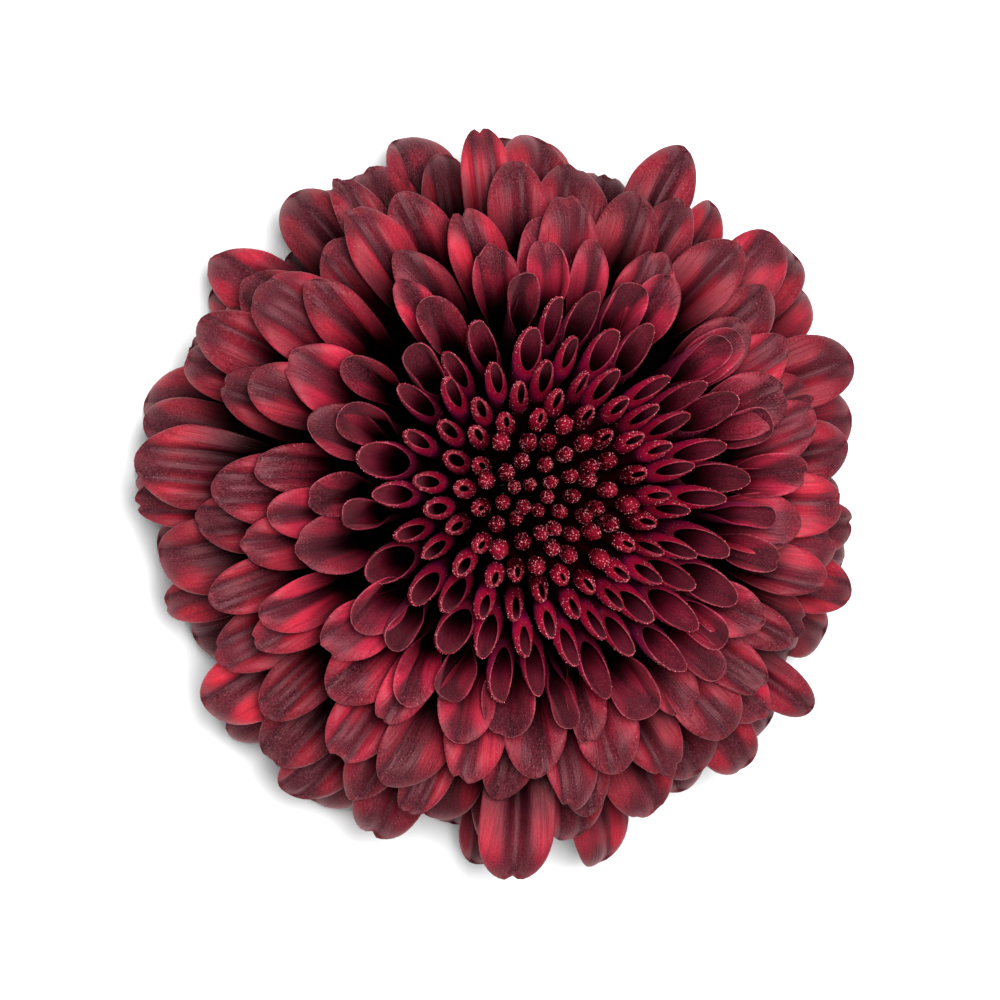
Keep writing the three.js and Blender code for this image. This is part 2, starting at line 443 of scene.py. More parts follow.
    def curl(self, share: np.ndarray) -> np.ndarray:
        """Bend the tip like part of a circle."""
        bend = np.clip(1 - (1 - share) * self.length / self.hood_length, 0.0, 1.0)
        return self.traits.hood * (1 - np.sqrt(1 - (0.95 * bend) ** 2)) / 0.69

    def crease_closeness(self, share: np.ndarray, across: np.ndarray) -> np.ndarray:
        """Return how near places are to a crease, from 0 to 1.

        Args:
            share: Shares of the way along it.
            across: Places across it, from -1 to 1.

        Returns:
            0 far from every crease and 1 at the bottom of one.
        """
        if not self.traits.creases:
            return np.zeros_like(share)
        off = np.min([self.off_crease(crease, share, across) for crease in self.traits.creases], axis=0)
        return np.exp(-off / self.crease_width) * blend_step(self.mouth, 1.0, share)

    def thickness(self, share: np.ndarray, across: np.ndarray) -> np.ndarray:
        """Thin from the fleshy middle to the edges.

        Args:
            share: Shares of the way along it.
            across: Places across it, from -1 to 1.

        Returns:
            The thickness in mm.
        """
        rim = 0.15 + 0.16 * self.lip
        thinned = np.maximum(np.abs(across) ** 4, blend_step(0.85, 1.0, share))
        return self.body + (rim - self.body) * thinned


@dataclass
class Quill(Floret):
    """A floret rolled into a tube that is cut off aslant, with its edge rolled in over a soft shoulder.

    Args:
        tube: The radius of its tube at the mouth, in mm.
        slant: How much further its back reaches than its inner side, in mm.
        shoulder: How far in from the edge of the mouth the shoulder lies, in mm.
        closed: How far the closed tube is rolled, in degrees, so that its edges just overlap.
        groove: The depth of the soft groove under the shoulder, in mm.
        crowding: How strongly the rows of its grid crowd towards the shoulder, as an exponent.
    """

    tube: float = 1.8
    slant: float = 3.0
    shoulder: float = 0.7
    closed: float = 361.0
    groove: float = 0.12
    crowding: float = 2.0

    @property
    def mouth(self) -> float:
        """Return the share of its length at which the mouth begins."""
        return 1 - self.slant / self.length

    def opening(self, share: np.ndarray) -> np.ndarray:
        """Open a little at the mouth."""
        opened = blend_step(self.mouth - 0.02, 1.0, share)
        return np.radians(self.closed + (self.tip_roll - self.closed) * opened)

    def half_width(self, share: np.ndarray) -> np.ndarray:
        """Widen from the stalk to the mouth, where the floret keeps its tube's round.

        Args:
            share: Shares of the way along it.

        Returns:
            Half the flattened width, in mm.
        """
        grown = blend_step(self.mouth - 0.35, 1.0, share)
        radius = self.tube * self.traits.breadth * (self.stalk_width + (1 - self.stalk_width) * grown)
        return radius * math.pi * (self.opening(share) / FULL_TURN) ** 0.7

    def end_share(self, across: np.ndarray) -> np.ndarray:
        """Cut the tube off aslant."""
        return 1 - self.slant / self.length * (1 - np.cos(math.pi * across)) / 2

    def steepness(self, across: np.ndarray) -> np.ndarray:
        """Return how much longer the way along the tube is than the way square to the slanting edge."""
        return np.hypot(1.0, self.slant * np.sin(math.pi * across) / 2 / self.tube)

    def rim_distance(self, share: np.ndarray, across: np.ndarray) -> np.ndarray:
        """Return how far places are from the edge of the mouth, in mm."""
        return (self.end_share(across) - share) * self.length / self.steepness(across)

    def relief(self, share: np.ndarray, across: np.ndarray) -> np.ndarray:
        """Roll the edge of the mouth in over a soft shoulder.

        Args:
            share: Shares of the way along it.
            across: Places across it, from -1 to 1.

        Returns:
            The height over the plain tube, in mm.
        """
        rim = self.rim_distance(share, across) / self.shoulder
        uneven = self.traits.wave * np.sin(self.traits.phase + 9 * share + 3 * across)
        return self.lip * np.exp(-(rim**2)) - self.groove * np.exp(-((rim - 1.6) ** 2)) + uneven

    def thickness(self, share: np.ndarray, across: np.ndarray) -> np.ndarray:
        """Thin towards the edge of the mouth."""
        return self.body - 0.24 * np.exp(-self.rim_distance(share, across) / 0.5)

    def lines(self, count: int) -> np.ndarray:
        """Choose columns evenly round the tube."""
        return np.linspace(-1, 1, count)

    def near_mouth(self, off: np.ndarray, across: np.ndarray) -> np.ndarray:
        """Find places round the mouth.

        Args:
            off: How far outside its edge they lie, in mm.
            across: Their places across the floret.

        Returns:
            Their shares of the length.
        """
        return self.end_share(across) - off * self.steepness(across) / self.length


@dataclass
class Bud(Floret):
    """A closed floret: a narrow stalk with a blunt club on its end.

    Args:
        head_length: The length of its club, in mm.
        dome_height: The height of its blunt top, as a share of that length.
        oblique: How much higher the top rises on its outer side than on its inner one, as such a share.
        lobes: How many soft lobes close the top.
        lobe_height: Their height, as a share of its radius.
    """

    dome_height: float = 0.42
    oblique: float = 0.24
    lobes: int = 5
    lobe_height: float = 0.07
    head_length: float = 2.6

    @property
    def head_swell(self) -> float:
        """Return how much broader its head is than its rolled width, more for the older buds."""
        return 0.95 + 0.15 * float(blend_step(5, 40, self.number))

    def tube_radius(self, share: np.ndarray, turn: np.ndarray) -> np.ndarray:
        """Return the radius of the closed tube in mm.

        Args:
            share: Shares of the way along it.
            turn: Directions round it, in radians.

        Returns:
            The radius, with soft lobes near the closed top.
        """
        below = (1 - share) * self.length / self.head_length
        club = self.stalk_width + (1 - self.stalk_width) * blend_step(0, 1, (1.7 - below) / 0.95)
        slope = self.dome_height + self.oblique * (1 - np.cos(turn))
        dome = np.sqrt(np.clip(1 - (1 - below / slope) ** 2, 0.0, 1.0))
        dome = np.where(below < slope, np.maximum(dome, 0.06), 1.0)
        waves = self.lobe_height * np.cos(self.lobes * turn + self.traits.phase)
        lobes = 1 + waves * blend_step(0, 1, 1.2 - below)
        return self.head_swell * self.flat_width / math.pi / 2 * club * dome * lobes

    def skin(self, share: np.ndarray, turn: np.ndarray, off: float = 0.0) -> np.ndarray:
        """Place points on the closed tube.

        Args:
            share: Shares of the way along it.
            turn: Directions round it, in radians.
            off: How far outside the skin the points lie, in mm.

        Returns:
            The points in mm in the head's frame.
        """
        radius = self.tube_radius(share, turn) + off
        middle, side, inward = self.frame(share)
        sideways, inwards = (radius * np.sin(turn))[..., None], (radius * np.cos(turn))[..., None]
        return self.turned(middle + side * sideways - inward * inwards)


@dataclass
class Bract(Sheet):
    """One green bract of the calyx, with a keel and a dry pale edge."""

    def half_width(self, share: np.ndarray) -> np.ndarray:
        """Swell to the middle and narrow to the tip."""
        swell = 0.62 + 0.38 * blend_step(0.0, 0.55, share)
        return self.flat_width / 2 * swell * (1 - 0.35 * blend_step(0.6, 1.0, share))

    def opening(self, share: np.ndarray) -> np.ndarray:
        """Hug the cup below and flatten towards the tip."""
        return np.radians(70 - 30 * blend_step(0.3, 1.0, share))

    def end_share(self, across: np.ndarray) -> np.ndarray:
        """Draw the tip to a blunt point."""
        return 1 - 0.3 * np.abs(across) ** 1.5

    def relief(self, share: np.ndarray, across: np.ndarray) -> np.ndarray:
        """Raise the keel on the outer face."""
        keel = -0.22 * np.exp(-((across / 0.16) ** 2)) * (1 - 0.6 * share)
        return keel + self.traits.wave * np.sin(self.traits.phase + 9 * share) * across

    def thickness(self, share: np.ndarray, across: np.ndarray) -> np.ndarray:
        """Thin to a membrane at the edges."""
        return 0.62 - 0.34 * np.abs(across) ** 2 - 0.12 * share


@dataclass
class Patch:
    """Part of a mesh, with what its finish needs to know at every point.

    Args:
        points: The points, in mm.
        faces: Triangles, as numbers of points.
        place: For each point the share along its sheet, the place across and the mm to its edge.
        trait: For each point its sheet's age and chance, and 1 on the inner face or 0 on the outer one.
        cloth: For each point the distance from the tip, the one across and the depth in the head, in mm.
        fold: For each point how near it is to a crease, from 0 to 1.
    """

    points: np.ndarray
    faces: np.ndarray
    place: np.ndarray
    trait: np.ndarray
    cloth: np.ndarray
    fold: np.ndarray

    @classmethod
    def joined(cls, patches: Sequence["Patch"]) -> "Patch":
        """Join patches into one, without merging points.

        Args:
            patches: The patches.

        Returns:
            The joined patch.
        """
        offsets = np.cumsum([0] + [len(patch.points) for patch in patches[:-1]])
        faces = [patch.faces + offset for patch, offset in zip(patches, offsets)]
        names = ("points", "place", "trait", "cloth", "fold")
        columns = {name: np.concatenate([getattr(patch, name) for patch in patches]) for name in names}
        return cls(faces=np.concatenate(faces), **columns)


def ring_faces(rows: int, sides: int) -> np.ndarray:
    """List the triangles of a closed tube of rings, whose two end points follow the rings.

    Args:
        rows: How many rings.
        sides: How many points in each.

    Returns:
        The triangles.
    """
    number = np.arange(rows * sides).reshape(rows, sides)
    following = np.roll(number, -1, axis=1)
    a, b, c, d = (part.ravel() for part in (number[:-1], following[:-1], following[1:], number[1:]))
    base, top = (np.full(sides, rows * sides + end) for end in (0, 1))
    fans = [(following[0], number[0], base), (number[-1], following[-1], top)]
    return np.concatenate([np.stack(corners, axis=-1) for corners in [(a, b, c), (a, c, d), *fans]])


@dataclass(frozen=True)
class SheetMesher:
    """Turns a sheet into a closed mesh with two faces and a rounded rim.

    Args:
        rows: How many rows of points the grid has along the sheet.
        columns: How many it has across it.
        rim_bulge: How far the rim stands out, as a share of the sheet's thickness.
        steepest: How close neighbouring rows may come at the tip; 1 lets them meet.
        least_cut: The smallest share of the length that the tip's outline is taken to use.
    """

    rows: int
    columns: int
    rim_bulge: float = 0.45
    steepest: float = 0.9
    least_cut: float = 0.05

    def grid(self, sheet: Sheet) -> tuple[np.ndarray, np.ndarray]:
        """Lay the grid over the sheet, closest at its tip and edges.

        Args:
            sheet: The sheet.

        Returns:
            The shares along it and the places across it.
        """
        u = sheet.stations(self.rows)
        v = sheet.lines(self.columns)
        end = sheet.end_share(v)
        power = self.steepest / max(float((1 - end).max()), self.least_cut)
        share = u[:, None] - (1 - end)[None, :] * u[:, None] ** power
        return share, np.broadcast_to(v, share.shape)

    def boundary(self, inset: int) -> np.ndarray:
        """Follow the grid's edge once round.

        Args:
            inset: 0 for the points of the edge, 1 for the nearest point further in from each.

        Returns:
            The numbers of the points.
        """
        number = np.arange(self.rows * self.columns).reshape(self.rows, self.columns)
        far = -1 - inset
        sides = [number[:-1, inset], number[far, :-1], number[:0:-1, far], number[inset, :0:-1]]
        return np.concatenate(sides)

    def patch(self, sheet: Sheet) -> Patch:
        """Build the mesh of a sheet.

        Args:
            sheet: The sheet.

        Returns:
            Its closed patch.
        """
        share, across = self.grid(sheet)
        half = sheet.thickness(share, across) / 2
        width = sheet.half_width(share)
        length = sheet.length
        middle = sheet.points(share, across).reshape(-1, 3)
        inner = sheet.points(share, across, half).reshape(-1, 3)
        outer = sheet.points(share, across, -half).reshape(-1, 3)
        order, inside = self.boundary(0), self.boundary(1)
        outward = middle[order] - middle[inside]
        outward /= np.maximum(np.linalg.norm(outward, axis=1, keepdims=True), 1e-9)
        rim = middle[order] + outward * (half.reshape(-1)[order] * 2 * self.rim_bulge)[:, None]

        place = np.stack([share, across, sheet.rim_distance(share, across)], axis=-1).reshape(-1, 3)
        flat = [(1 - share) * length, across * width, np.zeros_like(share)]
        cloth = np.stack(flat, axis=-1).reshape(-1, 3)
        trait = np.tile([sheet.age, sheet.traits.chance, 1.0], (len(middle), 1))
        fold = sheet.crease_closeness(share, across).ravel()
        count = len(middle)
        return Patch(
            points=np.concatenate([inner, outer, rim]),
            faces=self.faces(count, order),
            place=np.concatenate([place, place, place[order]]),
            trait=np.concatenate([trait, trait * [1, 1, 0], trait[order] * [1, 1, 0.5]]),
            cloth=np.concatenate([cloth, cloth, cloth[order]]),
            fold=np.concatenate([fold, fold, fold[order]]),
        )

    def faces(self, count: int, order: np.ndarray) -> np.ndarray:
        """List the faces of both sides and of the rim between them.

        Args:
            count: How many points one side has.
            order: The boundary points in order.

        Returns:
            The faces.
        """
        number = np.arange(count).reshape(self.rows, self.columns)
        a, b, c, d = number[:-1, :-1], number[1:, :-1], number[1:, 1:], number[:-1, 1:]
        front = np.stack([a, d, c, b], axis=-1).reshape(-1, 4)
        back = front[:, ::-1] + count
        rim = 2 * count + np.arange(len(order))
        following, next_rim = np.roll(order, -1), np.roll(rim, -1)
        upper = np.stack([order, following, next_rim, rim], axis=-1)
        lower = np.stack([rim, next_rim, following + count, order + count], axis=-1)
        quads = np.concatenate([front, back, upper, lower])
        return np.concatenate([quads[:, [0, 1, 2]], quads[:, [0, 2, 3]]])


@dataclass(frozen=True)
class TubeMesher:
    """Turns a closed bud into a mesh of rings round its spine."""

    rows: int = 20
    sides: int = 18
    crowding: float = 2.6

    def patch(self, bud: Bud) -> Patch:
        """Build the mesh of a bud.

        Args:
            bud: The bud.

        Returns:
            Its closed patch.
        """
        below = (1 - np.linspace(0, 1, self.rows)) ** self.crowding
        share = np.repeat(1 - below[:, None], self.sides, axis=1)
        turn = np.broadcast_to(np.arange(self.sides) * FULL_TURN / self.sides, share.shape)
        ends, _, _ = bud.frame(np.array([0.0, 1.0]))
        points = np.concatenate([bud.skin(share, turn).reshape(-1, 3), bud.turned(ends)])
        count = self.rows * self.sides
        whole = np.concatenate([share.ravel(), [0.0, 1.0]])
        round_mm = np.concatenate([(turn * bud.flat_width / FULL_TURN).ravel(), [0.0, 0.0]])
        far = np.full(count + 2, FAR_FROM_EDGE)
        return Patch(
            points=points,
            faces=ring_faces(self.rows, self.sides),
            place=np.stack([whole, np.zeros(count + 2), far], axis=-1),
            trait=np.tile([bud.age, bud.traits.chance, 0.0], (count + 2, 1)),
            cloth=np.stack([(1 - whole) * bud.length, round_mm, np.zeros(count + 2)], axis=-1),
            fold=np.zeros(count + 2),
        )


FLORET_SIZES = (
    "stalk_width",
    "root_roll",
    "tip_roll",
    "open_length",
    "opening_share",
    "tip_share",
    "lip",
    "hood_length",
    "dome_reach",
)
QUILL_SIZES = ("tube", "slant", "shoulder")


@dataclass(frozen=True)
class GrowingRule:
    """The rule that every floret of the head follows, in mm and degrees."""

    seed: int = 21098
    count: int = 308
    resting: int = 14
    head_radius: float = 50.0
    heart_height: float = 18.0
    centre_reach: float = 29.0
    full_reach_angle: float = 84.0
    receptacle_radius: float = 9.5
    receptacle_rim: float = 14.4
    receptacle_dome: float = 6.5
    first_quill: int = 40
    first_spoon: int = 66
    first_blade: int = 126
    first_notched: int = 140
    crowded: int = 150
    push: float = 0.3
    push_rounds: int = 40
    turn_play: float = 2.2
    tip_angle: Profile = Profile(
        ((40, 19.5), (66, 28.5), (100, 37.5), (140, 49.5), (185, 62), (242, 83), (308, 113))
    )
    start_angle: Profile = Profile(
        ((0, 0), (40, 10), (66, 18), (100, 26), (140, 37), (185, 48), (242, 66), (308, 93))
    )
    end_angle: Profile = Profile(
        ((0, 3), (40, 16), (66, 24), (100, 37), (140, 53), (185, 74), (242, 105), (308, 133))
    )
    flat_width: Profile = Profile(
        ((0, 5.6), (40, 6.8), (66, 8.2), (90, 10.0), (130, 10.8), (170, 10.0), (242, 10.2), (308, 9.6))
    )
    root_roll: Profile = Profile(((40, 361), (66, 361), (100, 361), (140, 330), (185, 240), (308, 130)))
    tip_roll: Profile = Profile(
        ((40, 350), (66, 340), (95, 320), (125, 270), (145, 190), (165, 108), (200, 76), (308, 48))
    )
    open_length: Profile = Profile(
        ((40, 3.5), (66, 5.5), (100, 7.5), (130, 10), (160, 16), (200, 22), (308, 30))
    )
    opening_share: Profile = Profile(((120, 0.45), (160, 0.8)))
    tube: Profile = Profile(((40, 0.95), (66, 1.2), (90, 1.5), (110, 1.85), (126, 2.3)))
    slant: Profile = Profile(((40, 2.0), (52, 3.2), (66, 4.6), (90, 6.8), (126, 9.0)))
    shoulder: Profile = Profile(((40, 0.6), (66, 0.7), (126, 0.75)))
    stalk_width: Profile = Profile(((0, 0.6), (66, 0.48), (140, 0.36), (308, 0.36)))
    tip_share: Profile = Profile(
        ((40, 0.07), (66, 0.09), (100, 0.13), (140, 0.15), (185, 0.155), (308, 0.165))
    )
    hood: Profile = Profile(
        ((66, 0), (110, 0.5), (130, 1.6), (145, 0.9), (160, -0.8), (200, -1.5), (308, -1.6))
    )
    hood_length: Profile = Profile(((90, 3.0), (130, 4.5), (160, 8), (308, 10)))
    dome_reach: Profile = Profile(((66, 1.5), (120, 2.4), (160, 3.4), (308, 3.6)))
    lip: Profile = Profile(((40, 0.62), (66, 0.6), (100, 0.45), (130, 0.15), (160, 0.0), (308, 0.0)))
    room: Profile = Profile(
        ((0, 2.0), (38, 2.5), (42, 3.3), (66, 3.5), (90, 4.0), (110, 4.5), (150, 4.9))
    )
    spread: Profile = Profile(((32, 0), (42, 1.9), (66, 1.4), (100, 0)))
    pit: Profile = Profile(((0, 1.7), (32, 1.5), (44, 0.5), (60, 0)))
    crease_depth: Profile = Profile(((100, 0.0), (130, 0.25), (160, 0.6), (308, 0.7)))
    lobe: Profile = Profile(((90, 0.0), (120, 0.4), (150, 1.5), (185, 2.0), (308, 2.0)))

    def tip_angle_of(self, number: float) -> float:
        """Return the angle of a floret's tip from the axis, in degrees."""
        first, angle = self.tip_angle.knots[0]
        return angle * math.sqrt(number / first) if number < first else self.tip_angle.at(number)

    def reach_at(self, angle: np.ndarray | float) -> np.ndarray:
        """Return how far the tips stand from the heart at an angle from the axis."""
        grown = blend_step(0, 1, angle / self.full_reach_angle)
        return self.centre_reach + (self.head_radius - self.centre_reach) * grown

    def kind_of(self, index: int) -> FloretKind:
        """Return how far a floret has opened.

        Args:
            index: Its place in the spiral.

        Returns:
            Its kind.
        """
        if index < self.first_quill:
            return FloretKind.BUD
        if index < self.first_spoon:
            return FloretKind.QUILL
        return FloretKind.SPOON if index < self.first_blade else FloretKind.BLADE

    def depth_of(self, points: np.ndarray) -> np.ndarray:
        """Measure how deep points lie under the tips of the florets.

        Args:
            points: The points, in mm.

        Returns:
            Their depths in mm, below zero for points that stand out.
        """
        arm = points - [0.0, 0.0, self.heart_height]
        angle = np.degrees(np.arctan2(np.hypot(arm[:, 0], arm[:, 1]), arm[:, 2]))
        return self.reach_at(angle) - np.linalg.norm(arm, axis=1)

    def traits_of(self, index: int) -> Traits:
        """Choose the small features of a floret.

        Args:
            index: Its place in the spiral.

        Returns:
            Its traits.
        """
        chance = np.random.default_rng(self.seed * 1000 + index)
        number = index + 0.5
        opened = float(blend_step(60, 120, number))
        notched = number > self.first_notched and index % 2 == 0
        notches = (-0.34, 0.3) if chance.random() < 0.3 else (chance.normal(0, 0.12),)
        creases = (-0.38, 0.36) if chance.random() < 0.2 else (chance.normal(0, 0.24),)
        return Traits(
            chance=chance.random(),
            creases=creases,
            crease_depth=self.crease_depth.at(number) * chance.uniform(0.6, 1.3),
            lobe=self.lobe.at(number) * chance.uniform(0.7, 1.2),
            notches=notches if notched else (),
            notch_depth=chance.uniform(0.1, 1.1),
            roundness=chance.uniform(1.6, 2.3) + 0.35 * (1 - opened),
            breadth=self.breadth_from(chance, number, opened),
            hood=self.hood.at(number) * chance.uniform(0.7, 1.2) + chance.normal(0, 0.4) * opened,
            sickle=chance.normal(0, 1.3) * opened,
            wave=chance.uniform(0.05, 0.35) * float(blend_step(90, 190, number)),
            phase=chance.uniform(0, FULL_TURN),
            reach=self.reach_from(chance, number),
        )

    def breadth_from(self, chance: np.random.Generator, number: float, opened: float) -> float:
        """Draw a breadth for an open floret; a rolled one draws nothing and keeps its own."""
        if number <= self.first_spoon:
            return 1.0
        return float(np.clip(chance.normal(1.0, 0.08 + 0.06 * opened), 0.75, 1.25))

    @staticmethod
    def reach_from(chance: np.random.Generator, number: float) -> float:
        """Draw how much further an outer floret reaches than its neighbours."""
        further = float(np.clip(chance.normal(0.0, 0.04), -0.07, 0.065))
        return further * float(blend_step(150, 230, number))

    def places(self, draws: np.ndarray) -> np.ndarray:
        """Find a place for each floret's tip, with room for the closed and rolled ones.

        Args:
            draws: The six draws of each floret.

        Returns:
            For each floret its direction round the axis and its angle from the axis, in radians.
        """
        number = np.arange(self.count) + 0.5
        opened = blend_step(30, 140, number)
        round_axis = np.arange(self.count) * GOLDEN_ANGLE + np.radians(draws[:, 0] * self.turn_play)
        lean = np.array([self.tip_angle_of(place) + self.spread.at(place) for place in number])
        lean = np.radians(lean + draws[:, 1] * (0.8 + 1.4 * opened))
        crowd = self.crowded
        flat = lean[:crowd, None] * np.stack([np.cos(round_axis), np.sin(round_axis)], axis=1)[:crowd]
        others = 1 - np.eye(crowd)
        room = np.array([self.room.at(place) for place in number[:crowd]]) / self.centre_reach
        for _ in range(self.push_rounds):
            apart = flat[:, None] - flat[None]
            distance = np.linalg.norm(apart, axis=2) + np.eye(crowd)
            lack = np.clip((room[:, None] + room[None]) / 2 - distance, 0.0, None) * others
            flat += self.push * (apart / distance[..., None] * lack[..., None]).sum(axis=1)
        round_axis[:crowd] = np.arctan2(flat[:, 1], flat[:, 0])
        lean[:crowd] = np.linalg.norm(flat, axis=1)
        return np.stack([round_axis, lean], axis=1)

    def floret(self, index: int, draws: np.ndarray, place: np.ndarray) -> Floret:
        """Grow one floret.

        Args:
            index: Its place in the spiral, from the middle outwards.
            draws: Its six draws, the same ones as its solid was grown with.
            place: The direction of its tip round the axis and from the axis, in radians.

        Returns:
            The floret.
        """
        number = index + 0.5
        share = number / self.count
        _, _, reach, roll, sway, widen = draws
        opened = float(blend_step(90, 160, number))
        angle = math.degrees(place[1])
        traits = self.traits_of(index)
        grown = {FloretKind.BUD: Bud, FloretKind.BLADE: Floret}.get(self.kind_of(index), Quill)
        further = (0.015 + 0.02 * opened) * reach + traits.reach
        distance = self.reach_at(angle) * (1 + further) - self.pit.at(number)
        heart = np.array([0.0, 0.0, self.heart_height])
        rim_height = self.receptacle_rim + self.receptacle_dome * (1 - share)
        root = np.array([self.receptacle_radius * math.sqrt(share), 0.0, rim_height])
        tip = heart + distance * self.direction(angle) + [0.0, sway * (0.5 + 1.3 * opened), 0.0]
        handle = np.linalg.norm(tip - root) / 3
        after_root = root + handle * self.direction(self.start_angle.at(number))
        before_tip = tip - handle * self.direction(self.end_angle.at(number))
        return grown(
            spine=np.array([root, after_root, before_tip, tip]),
            azimuth=float(place[0]),
            twist=math.radians(roll * (4 + 9 * opened)),
            flat_width=self.flat_width.at(number) * (1 + 0.07 * widen),
            age=share,
            traits=traits,
            number=number,
            **self.sizes_of(number, traits, grown is Quill),
        )

    def sizes_of(self, number: float, traits: Traits, rolled: bool) -> dict[str, float]:
        """Look up the sizes of a floret.

        Args:
            number: Its number in the spiral.
            traits: Its small features.
            rolled: Whether it is a tube with a slanting mouth.

        Returns:
            The sizes by name, the slant a little uneven from one tube to the next.
        """
        names = FLORET_SIZES + QUILL_SIZES if rolled else FLORET_SIZES
        sizes = {name: getattr(self, name).at(number) for name in names}
        if rolled:
            sizes["slant"] *= 1 + 0.3 * (traits.chance - 0.5)
        return sizes

    @staticmethod
    def direction(angle: float) -> np.ndarray:
        """Return the direction at an angle in degrees from the axis."""
        return np.array([math.sin(math.radians(angle)), 0.0, math.cos(math.radians(angle))])

    def florets(self) -> list[Floret]:
        """Return all florets in order from the middle."""
        draw = Draw(self.seed)
        draws = np.array([[draw() for _ in range(DRAWS_PER_FLORET)] for _ in range(self.count)])
        places = self.places(draws)
        return [self.floret(index, draws[index], places[index]) for index in range(self.count)]


class Bench:
    """Adds nodes to one material and wires them."""

    def __init__(self, name: str) -> None:
        """Start an empty material with its shader.

        Args:
            name: The material's name.
        """
        self.material = bpy.data.materials.new(name)
        self.material.use_nodes = True
        self.tree = self.material.node_tree
        self.shader = self.tree.nodes["Principled BSDF"]

    def wire(self, socket: bpy.types.NodeSocket, value: object) -> None:
        """Put a value or another node's output into a socket.

        Args:
            socket: The socket that takes it.
            value: An output socket, a number or a colour.
        """
        if isinstance(value, bpy.types.NodeSocket):
            self.tree.links.new(value, socket)
        elif isinstance(value, tuple) and len(value) == 3 and len(socket.default_value) == 4:
            socket.default_value = (*value, 1.0)
        else:
            socket.default_value = value

    def attribute(self, name: str) -> bpy.types.Node:
        """Add a node that reads what the mesh holds under a name.

        Args:
            name: The name.

        Returns:
            The node.
        """
        source = self.tree.nodes.new("ShaderNodeAttribute")
        source.attribute_name = name
        return source

    def parts_of(self, name: str) -> list[bpy.types.NodeSocket]:
        """Return the three numbers that the mesh holds under a name.

        Args:
            name: The name.

        Returns:
            The three outputs.
        """
        split = self.tree.nodes.new("ShaderNodeSeparateXYZ")
        self.wire(split.inputs[0], self.attribute(name).outputs["Vector"])
        return list(split.outputs)

    def number_of(self, name: str) -> bpy.types.NodeSocket:
        """Return the number that the mesh holds under a name."""
        return self.attribute(name).outputs["Fac"]

    def math(self, operation: str, first: object, second: object = 0.0) -> bpy.types.NodeSocket:
        """Return the result of one sum on two numbers.

        Args:
            operation: Blender's name for the sum.
            first: The first number.
            second: The second number.

        Returns:
            The result.
        """
        node = self.tree.nodes.new("ShaderNodeMath")
        node.operation = operation
        self.wire(node.inputs[0], first)
        self.wire(node.inputs[1], second)
        return node.outputs[0]

    def times(self, first: object, second: object) -> bpy.types.NodeSocket:
        """Return the product of two numbers."""
        return self.math("MULTIPLY", first, second)

    def plus(self, first: object, second: object) -> bpy.types.NodeSocket:
        """Return two numbers added."""
        return self.math("ADD", first, second)

    def minus(self, first: object, second: object) -> bpy.types.NodeSocket:
        """Return the second number taken from the first."""
        return self.math("SUBTRACT", first, second)

    def rise(
        self, value: object, low: float, high: float, start: float = 0.0, end: float = 1.0
    ) -> bpy.types.NodeSocket:
        """Blend smoothly from one number to another while a value rises.

        Args:
            value: The value.
            low: Where the blend starts.
            high: Where it ends.
            start: The number before it.
            end: The number after it.

        Returns:
            The blended number.
        """
        node = self.tree.nodes.new("ShaderNodeMapRange")
        node.interpolation_type = "SMOOTHSTEP"
        names = ("Value", "From Min", "From Max", "To Min", "To Max")
        for name, item in zip(names, (value, low, high, start, end)):
            self.wire(node.inputs[name], item)
        return node.outputs[0]

    def vector(self, x: object, y: object, z: object) -> bpy.types.NodeSocket:
        """Return a vector of three numbers.

        Args:
            x: The first number.
            y: The second number.
            z: The third number.

        Returns:
            The vector.
        """
        node = self.tree.nodes.new("ShaderNodeCombineXYZ")
        for socket, item in zip(node.inputs, (x, y, z)):
            self.wire(socket, item)
        return node.outputs[0]

    def noise(self, vector: object, scale: float, detail: float = 2.0) -> bpy.types.NodeSocket:
        """Return cloudy noise from 0 to 1.

        Args:
            vector: Where the noise is read.
            scale: How fine it is.
            detail: How many finer layers it has.

        Returns:
            The noise.
        """
        node = self.tree.nodes.new("ShaderNodeTexNoise")
        self.wire(node.inputs["Vector"], vector)
        self.wire(node.inputs["Scale"], scale)
        self.wire(node.inputs["Detail"], detail)
        return node.outputs["Fac"]

    def ramp(self, value: object, stops: Sequence[tuple[float, Colour]]) -> bpy.types.NodeSocket:
        """Return a colour that changes with a value.

        Args:
            value: The value, from 0 to 1.
            stops: Places on the way and the colours there.

        Returns:
            The colour.
        """
        node = self.tree.nodes.new("ShaderNodeValToRGB")
        elements = node.color_ramp.elements
        while len(elements) < len(stops):
            elements.new(0.5)
        for element, (position, colour) in zip(elements, stops):
            element.position = position
            element.color = (*colour, 1.0)
        self.wire(node.inputs[0], value)
        return node.outputs[0]

    def mix(
        self, factor: object, first: object, second: object, blend: str = "MIX"
    ) -> bpy.types.NodeSocket:
        """Return a mix of two colours.

        Args:
            factor: How much of the second.
            first: The first colour.
            second: The second colour.
            blend: How they mix.

        Returns:
            The mixed colour.
        """
        node = self.tree.nodes.new("ShaderNodeMix")
        node.data_type = "RGBA"
        node.blend_type = blend
        colours = [socket for socket in node.inputs if socket.type == "RGBA"]
        self.wire(node.inputs[0], factor)
        self.wire(colours[0], first)
        self.wire(colours[1], second)
        return next(socket for socket in node.outputs if socket.type == "RGBA")

    def dimmed(self, colour: object, factor: object) -> bpy.types.NodeSocket:
        """Return a colour multiplied by a number."""
        return self.mix(1.0, colour, self.vector(factor, factor, factor), "MULTIPLY")

